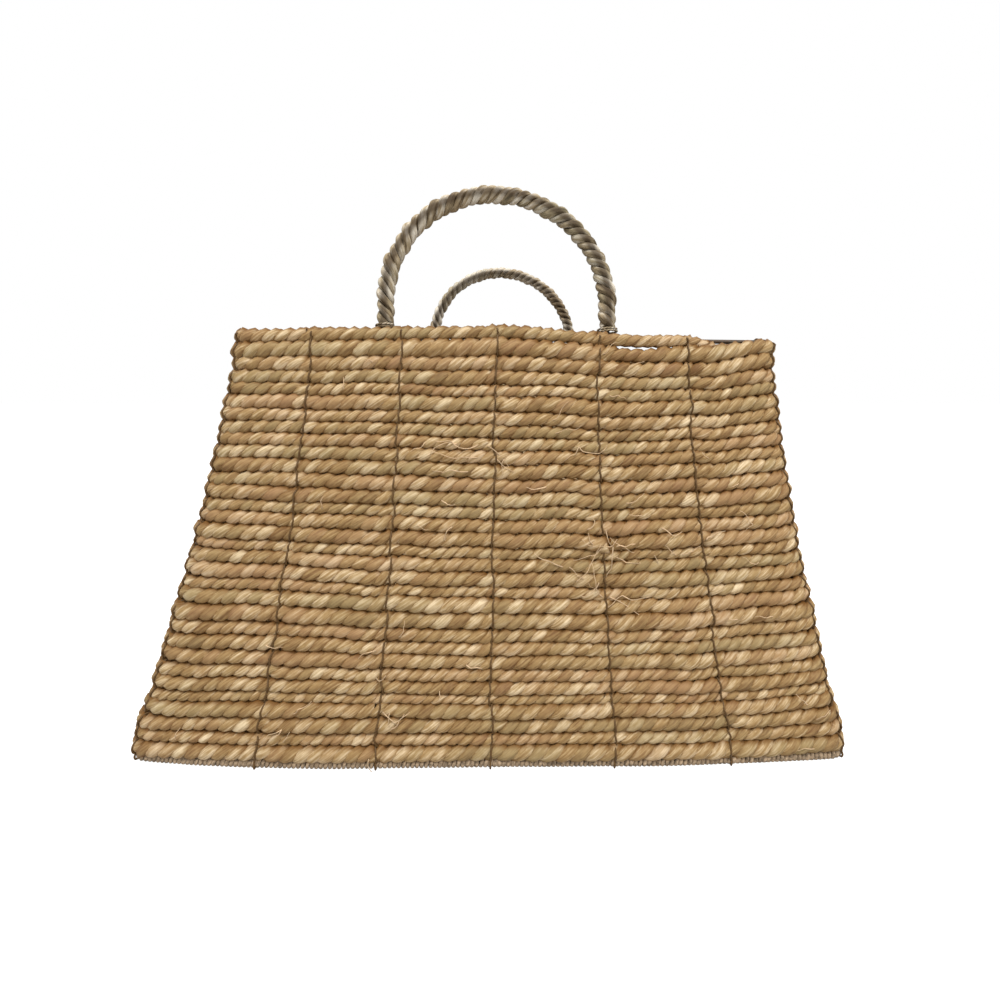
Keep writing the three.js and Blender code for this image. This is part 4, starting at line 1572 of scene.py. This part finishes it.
class BASKET_OT_loose_fibres(Operator):
    """Scatters the frayed ends that stand out of the wall rope."""

    bl_idname = "basket.loose_fibres"
    bl_label = "Loose fibres"

    # Single fibres all over, and their length
    single_count = 80
    single_length = 0.011
    # How far a fibre stands out from the rope, at its ends and, at least and most, in its middle
    end_lift = 0.0003
    middle_lift = (0.0004, 0.0022)
    # Its radius from the root to the tip, and the least height above the floor
    radii = (0.00034, 0.00016)
    floor_height = 0.0005
    # Least and most of its length and thickness, as shares, and the spread of its first direction and of
    # each bend, in radians
    length_range = (0.5, 1.3)
    thickness_range = (0.8, 1.4)
    stray = 0.7
    bend = 0.35
    steps = 6
    # Share of a wall on which single fibres stand, and share of the rope's radius at which all root
    clear_of_corner = 0.97
    root = 0.9

    def execute(self, context):
        wall = Wall()
        winding = Winding(wall)
        rng = np.random.default_rng(9)
        spots = []
        clear = self.clear_of_corner
        between = np.flatnonzero((np.abs(winding.across) < clear) | (np.abs(winding.deep) < clear))
        for _ in range(self.single_count):
            row = int(rng.integers(0, wall.top))
            spots.append((row, int(rng.choice(between)), self.single_length))
        for front_share, course, count, spread, size in FIBRE_TUFTS:
            for _ in range(count):
                row = round(course + rng.normal(0, spread / wall.pitch / 2))
                row = int(np.clip(row, 0, wall.top))
                half_x = wall.halves(wall.rise * course / wall.top)[0]
                at = front_share + rng.normal(0, spread / half_x / 1.5)
                spots.append((row, winding.station(at), size))
        lines, sizes = [], []
        for course, i, size in spots:
            start = winding.points[course, i]
            out = winding.outward[course, i]
            along = np.cross(UP, out)
            heading = rng.normal(0, self.stray) + (math.pi if rng.random() < 0.5 else 0)
            total = size * rng.uniform(*self.length_range)
            stand = rng.uniform(*self.middle_lift)
            place = start + out * (winding.radius[course, i] * self.root)
            line = [place]
            for step in range(1, self.steps + 1):
                heading += rng.normal(0, self.bend)
                way = math.cos(heading) * along + math.sin(heading) * UP
                place = place + way * total / self.steps
                lift = stand * math.sin(math.pi * step / self.steps)
                line.append(place + out * (lift + self.end_lift))
            line = smooth_path(line, steps=3)
            line[:, 2] = np.maximum(line[:, 2], self.floor_height)
            lines.append(line)
            sizes.append(np.linspace(*self.radii, len(line)) * rng.uniform(*self.thickness_range))
        mesh = tubes("loose_fibres", lines, sizes, sides=4)
        add_piece(mesh, loose_fibre_finish(), "seagrass_rope", "wall_rope_lower", "wall_rope_upper")
        return {"FINISHED"}


class BASKET_OT_stage(Operator):
    """Makes the floor, the light and the camera."""

    bl_idname = "basket.stage"
    bl_label = "Stage"

    floor_half = 12
    # Matt white paper: how much it throws back, and how much it glows to look even from the camera
    paper_grey = 0.6
    paper_glow = 0.76
    # Strength of the white round about, as a light and as it is seen
    sky_strengths = (0.5, 1.0)
    # Place, share of the key light's watts, and size of each lamp, and the height at which all aim
    lamps = {
        "key_lamp": ((0.05, -1.0, 2.1), 1.0, 0.8),
        "fill_lamp": ((0.9, -1.4, 1.2), 0.22, 1.2),
        "back_lamp": ((0.2, 1.9, 1.7), 0.3, 1.4),
    }
    aim_height = 0.15
    # Shift of the picture, as shares of its width, and the nearest and furthest place that it shows
    picture_shift = (-0.0124, -0.0599)
    clip = (0.02, 60)

    def execute(self, context):
        scene = context.scene
        s = scene.basket_stage
        scene.view_settings.view_transform = "Standard"
        body = bmesh.new()
        bmesh.ops.create_grid(body, x_segments=1, y_segments=1, size=self.floor_half)
        mesh = bpy.data.meshes.new("floor")
        body.to_mesh(mesh)
        body.free()
        floor = bpy.data.objects.new("floor", mesh)
        scene.collection.objects.link(floor)
        material = bpy.data.materials.new("matt_white_paper")
        material.use_nodes = True
        tree = material.node_tree
        tree.nodes.clear()
        path = add_node(tree, "ShaderNodeLightPath")
        grey = (self.paper_grey, self.paper_grey, self.paper_grey, 1)
        diffuse = add_node(tree, "ShaderNodeBsdfDiffuse", values={"Color": grey})
        glow = add_node(tree, "ShaderNodeEmission", values={"Strength": self.paper_glow})
        paper, light = diffuse.outputs["BSDF"], glow.outputs["Emission"]
        seen = add_node(tree, "ShaderNodeAddShader", links={0: paper, 1: light})
        mix = add_node(
            tree,
            "ShaderNodeMixShader",
            links={0: path.outputs["Is Camera Ray"], 1: paper, 2: seen.outputs[0]},
        )
        add_node(tree, "ShaderNodeOutputMaterial", links={"Surface": mix.outputs[0]})
        mesh.materials.append(material)

        world = bpy.data.worlds.new("studio_white")
        scene.world = world
        world.use_nodes = True
        tree = world.node_tree
        tree.nodes.clear()
        path = add_node(tree, "ShaderNodeLightPath")
        seen = path.outputs["Is Camera Ray"]
        for other in ("Is Glossy Ray", "Is Transmission Ray"):
            either = add_node(
                tree,
                "ShaderNodeMath",
                {"operation": "MAXIMUM"},
                links={0: seen, 1: path.outputs[other]},
            )
            seen = either.outputs["Value"]
        dim, bright = self.sky_strengths
        strength = add_node(
            tree,
            "ShaderNodeMapRange",
            values={"To Min": dim, "To Max": bright},
            links={"Value": seen},
        )
        background = add_node(
            tree,
            "ShaderNodeBackground",
            values={"Color": (1, 1, 1, 1)},
            links={"Strength": strength.outputs["Result"]},
        )
        add_node(tree, "ShaderNodeOutputWorld", links={"Surface": background.outputs[0]})

        for name, (place, part, size) in self.lamps.items():
            lamp = bpy.data.lights.new(name, "AREA")
            lamp.energy = s.key_strength * part
            lamp.size = size
            lamp_object = bpy.data.objects.new(name, lamp)
            lamp_object.location = place
            aim = Vector((0, 0, self.aim_height)) - Vector(place)
            lamp_object.rotation_euler = aim.to_track_quat("-Z", "Y").to_euler()
            scene.collection.objects.link(lamp_object)

        camera = bpy.data.cameras.new("front_camera")
        camera.lens = s.lens
        camera.sensor_width = 36
        camera.clip_start, camera.clip_end = self.clip
        camera.shift_x, camera.shift_y = self.picture_shift
        camera_object = bpy.data.objects.new("front_camera", camera)
        camera_object.location = s.camera_place
        camera_object.rotation_euler = (math.pi / 2 - s.camera_tilt, 0, -s.camera_turn)
        scene.collection.objects.link(camera_object)
        scene.camera = camera_object
        return {"FINISHED"}


OPERATORS = (
    BASKET_OT_stage,
    BASKET_OT_wall_ropes,
    BASKET_OT_frame_wires,
    BASKET_OT_base_whipping,
    BASKET_OT_binding_threads,
    BASKET_OT_base_mat,
    BASKET_OT_handles,
    BASKET_OT_handle_wraps,
    BASKET_OT_loose_fibres,
)
SETTINGS = {
    "basket_wall": BasketWallSettings,
    "basket_frame": BasketFrameSettings,
    "basket_binding": BasketBindingSettings,
    "basket_handles": BasketHandleSettings,
    "basket_finish": BasketFinishSettings,
    "basket_stage": BasketStageSettings,
}


class BASKET_PT_panel(Panel):
    """Settings and builders of the basket."""

    bl_label = "Magazine basket"
    bl_idname = "BASKET_PT_panel"
    bl_space_type = "VIEW_3D"
    bl_region_type = "UI"
    bl_category = "Basket"

    def draw(self, context):
        for operator in OPERATORS:
            self.layout.operator(operator.bl_idname)
        for name in SETTINGS:
            group = getattr(context.scene, name)
            box = self.layout.box()
            box.label(text=name.replace("_", " ").capitalize())
            for key in group.bl_rna.properties.keys():
                if key not in ("rna_type", "name"):
                    box.prop(group, key)


CLASSES = (*SETTINGS.values(), *OPERATORS, BASKET_PT_panel)


def register():
    for item in CLASSES:
        bpy.utils.register_class(item)
    for name, group in SETTINGS.items():
        setattr(bpy.types.Scene, name, PointerProperty(type=group))


def unregister():
    for name in SETTINGS:
        delattr(bpy.types.Scene, name)
    for item in reversed(CLASSES):
        bpy.utils.unregister_class(item)


def main():
    register()
    for operator in OPERATORS:
        section, name = operator.bl_idname.split(".")
        getattr(getattr(bpy.ops, section), name)()


if __name__ == "__main__":
    main()
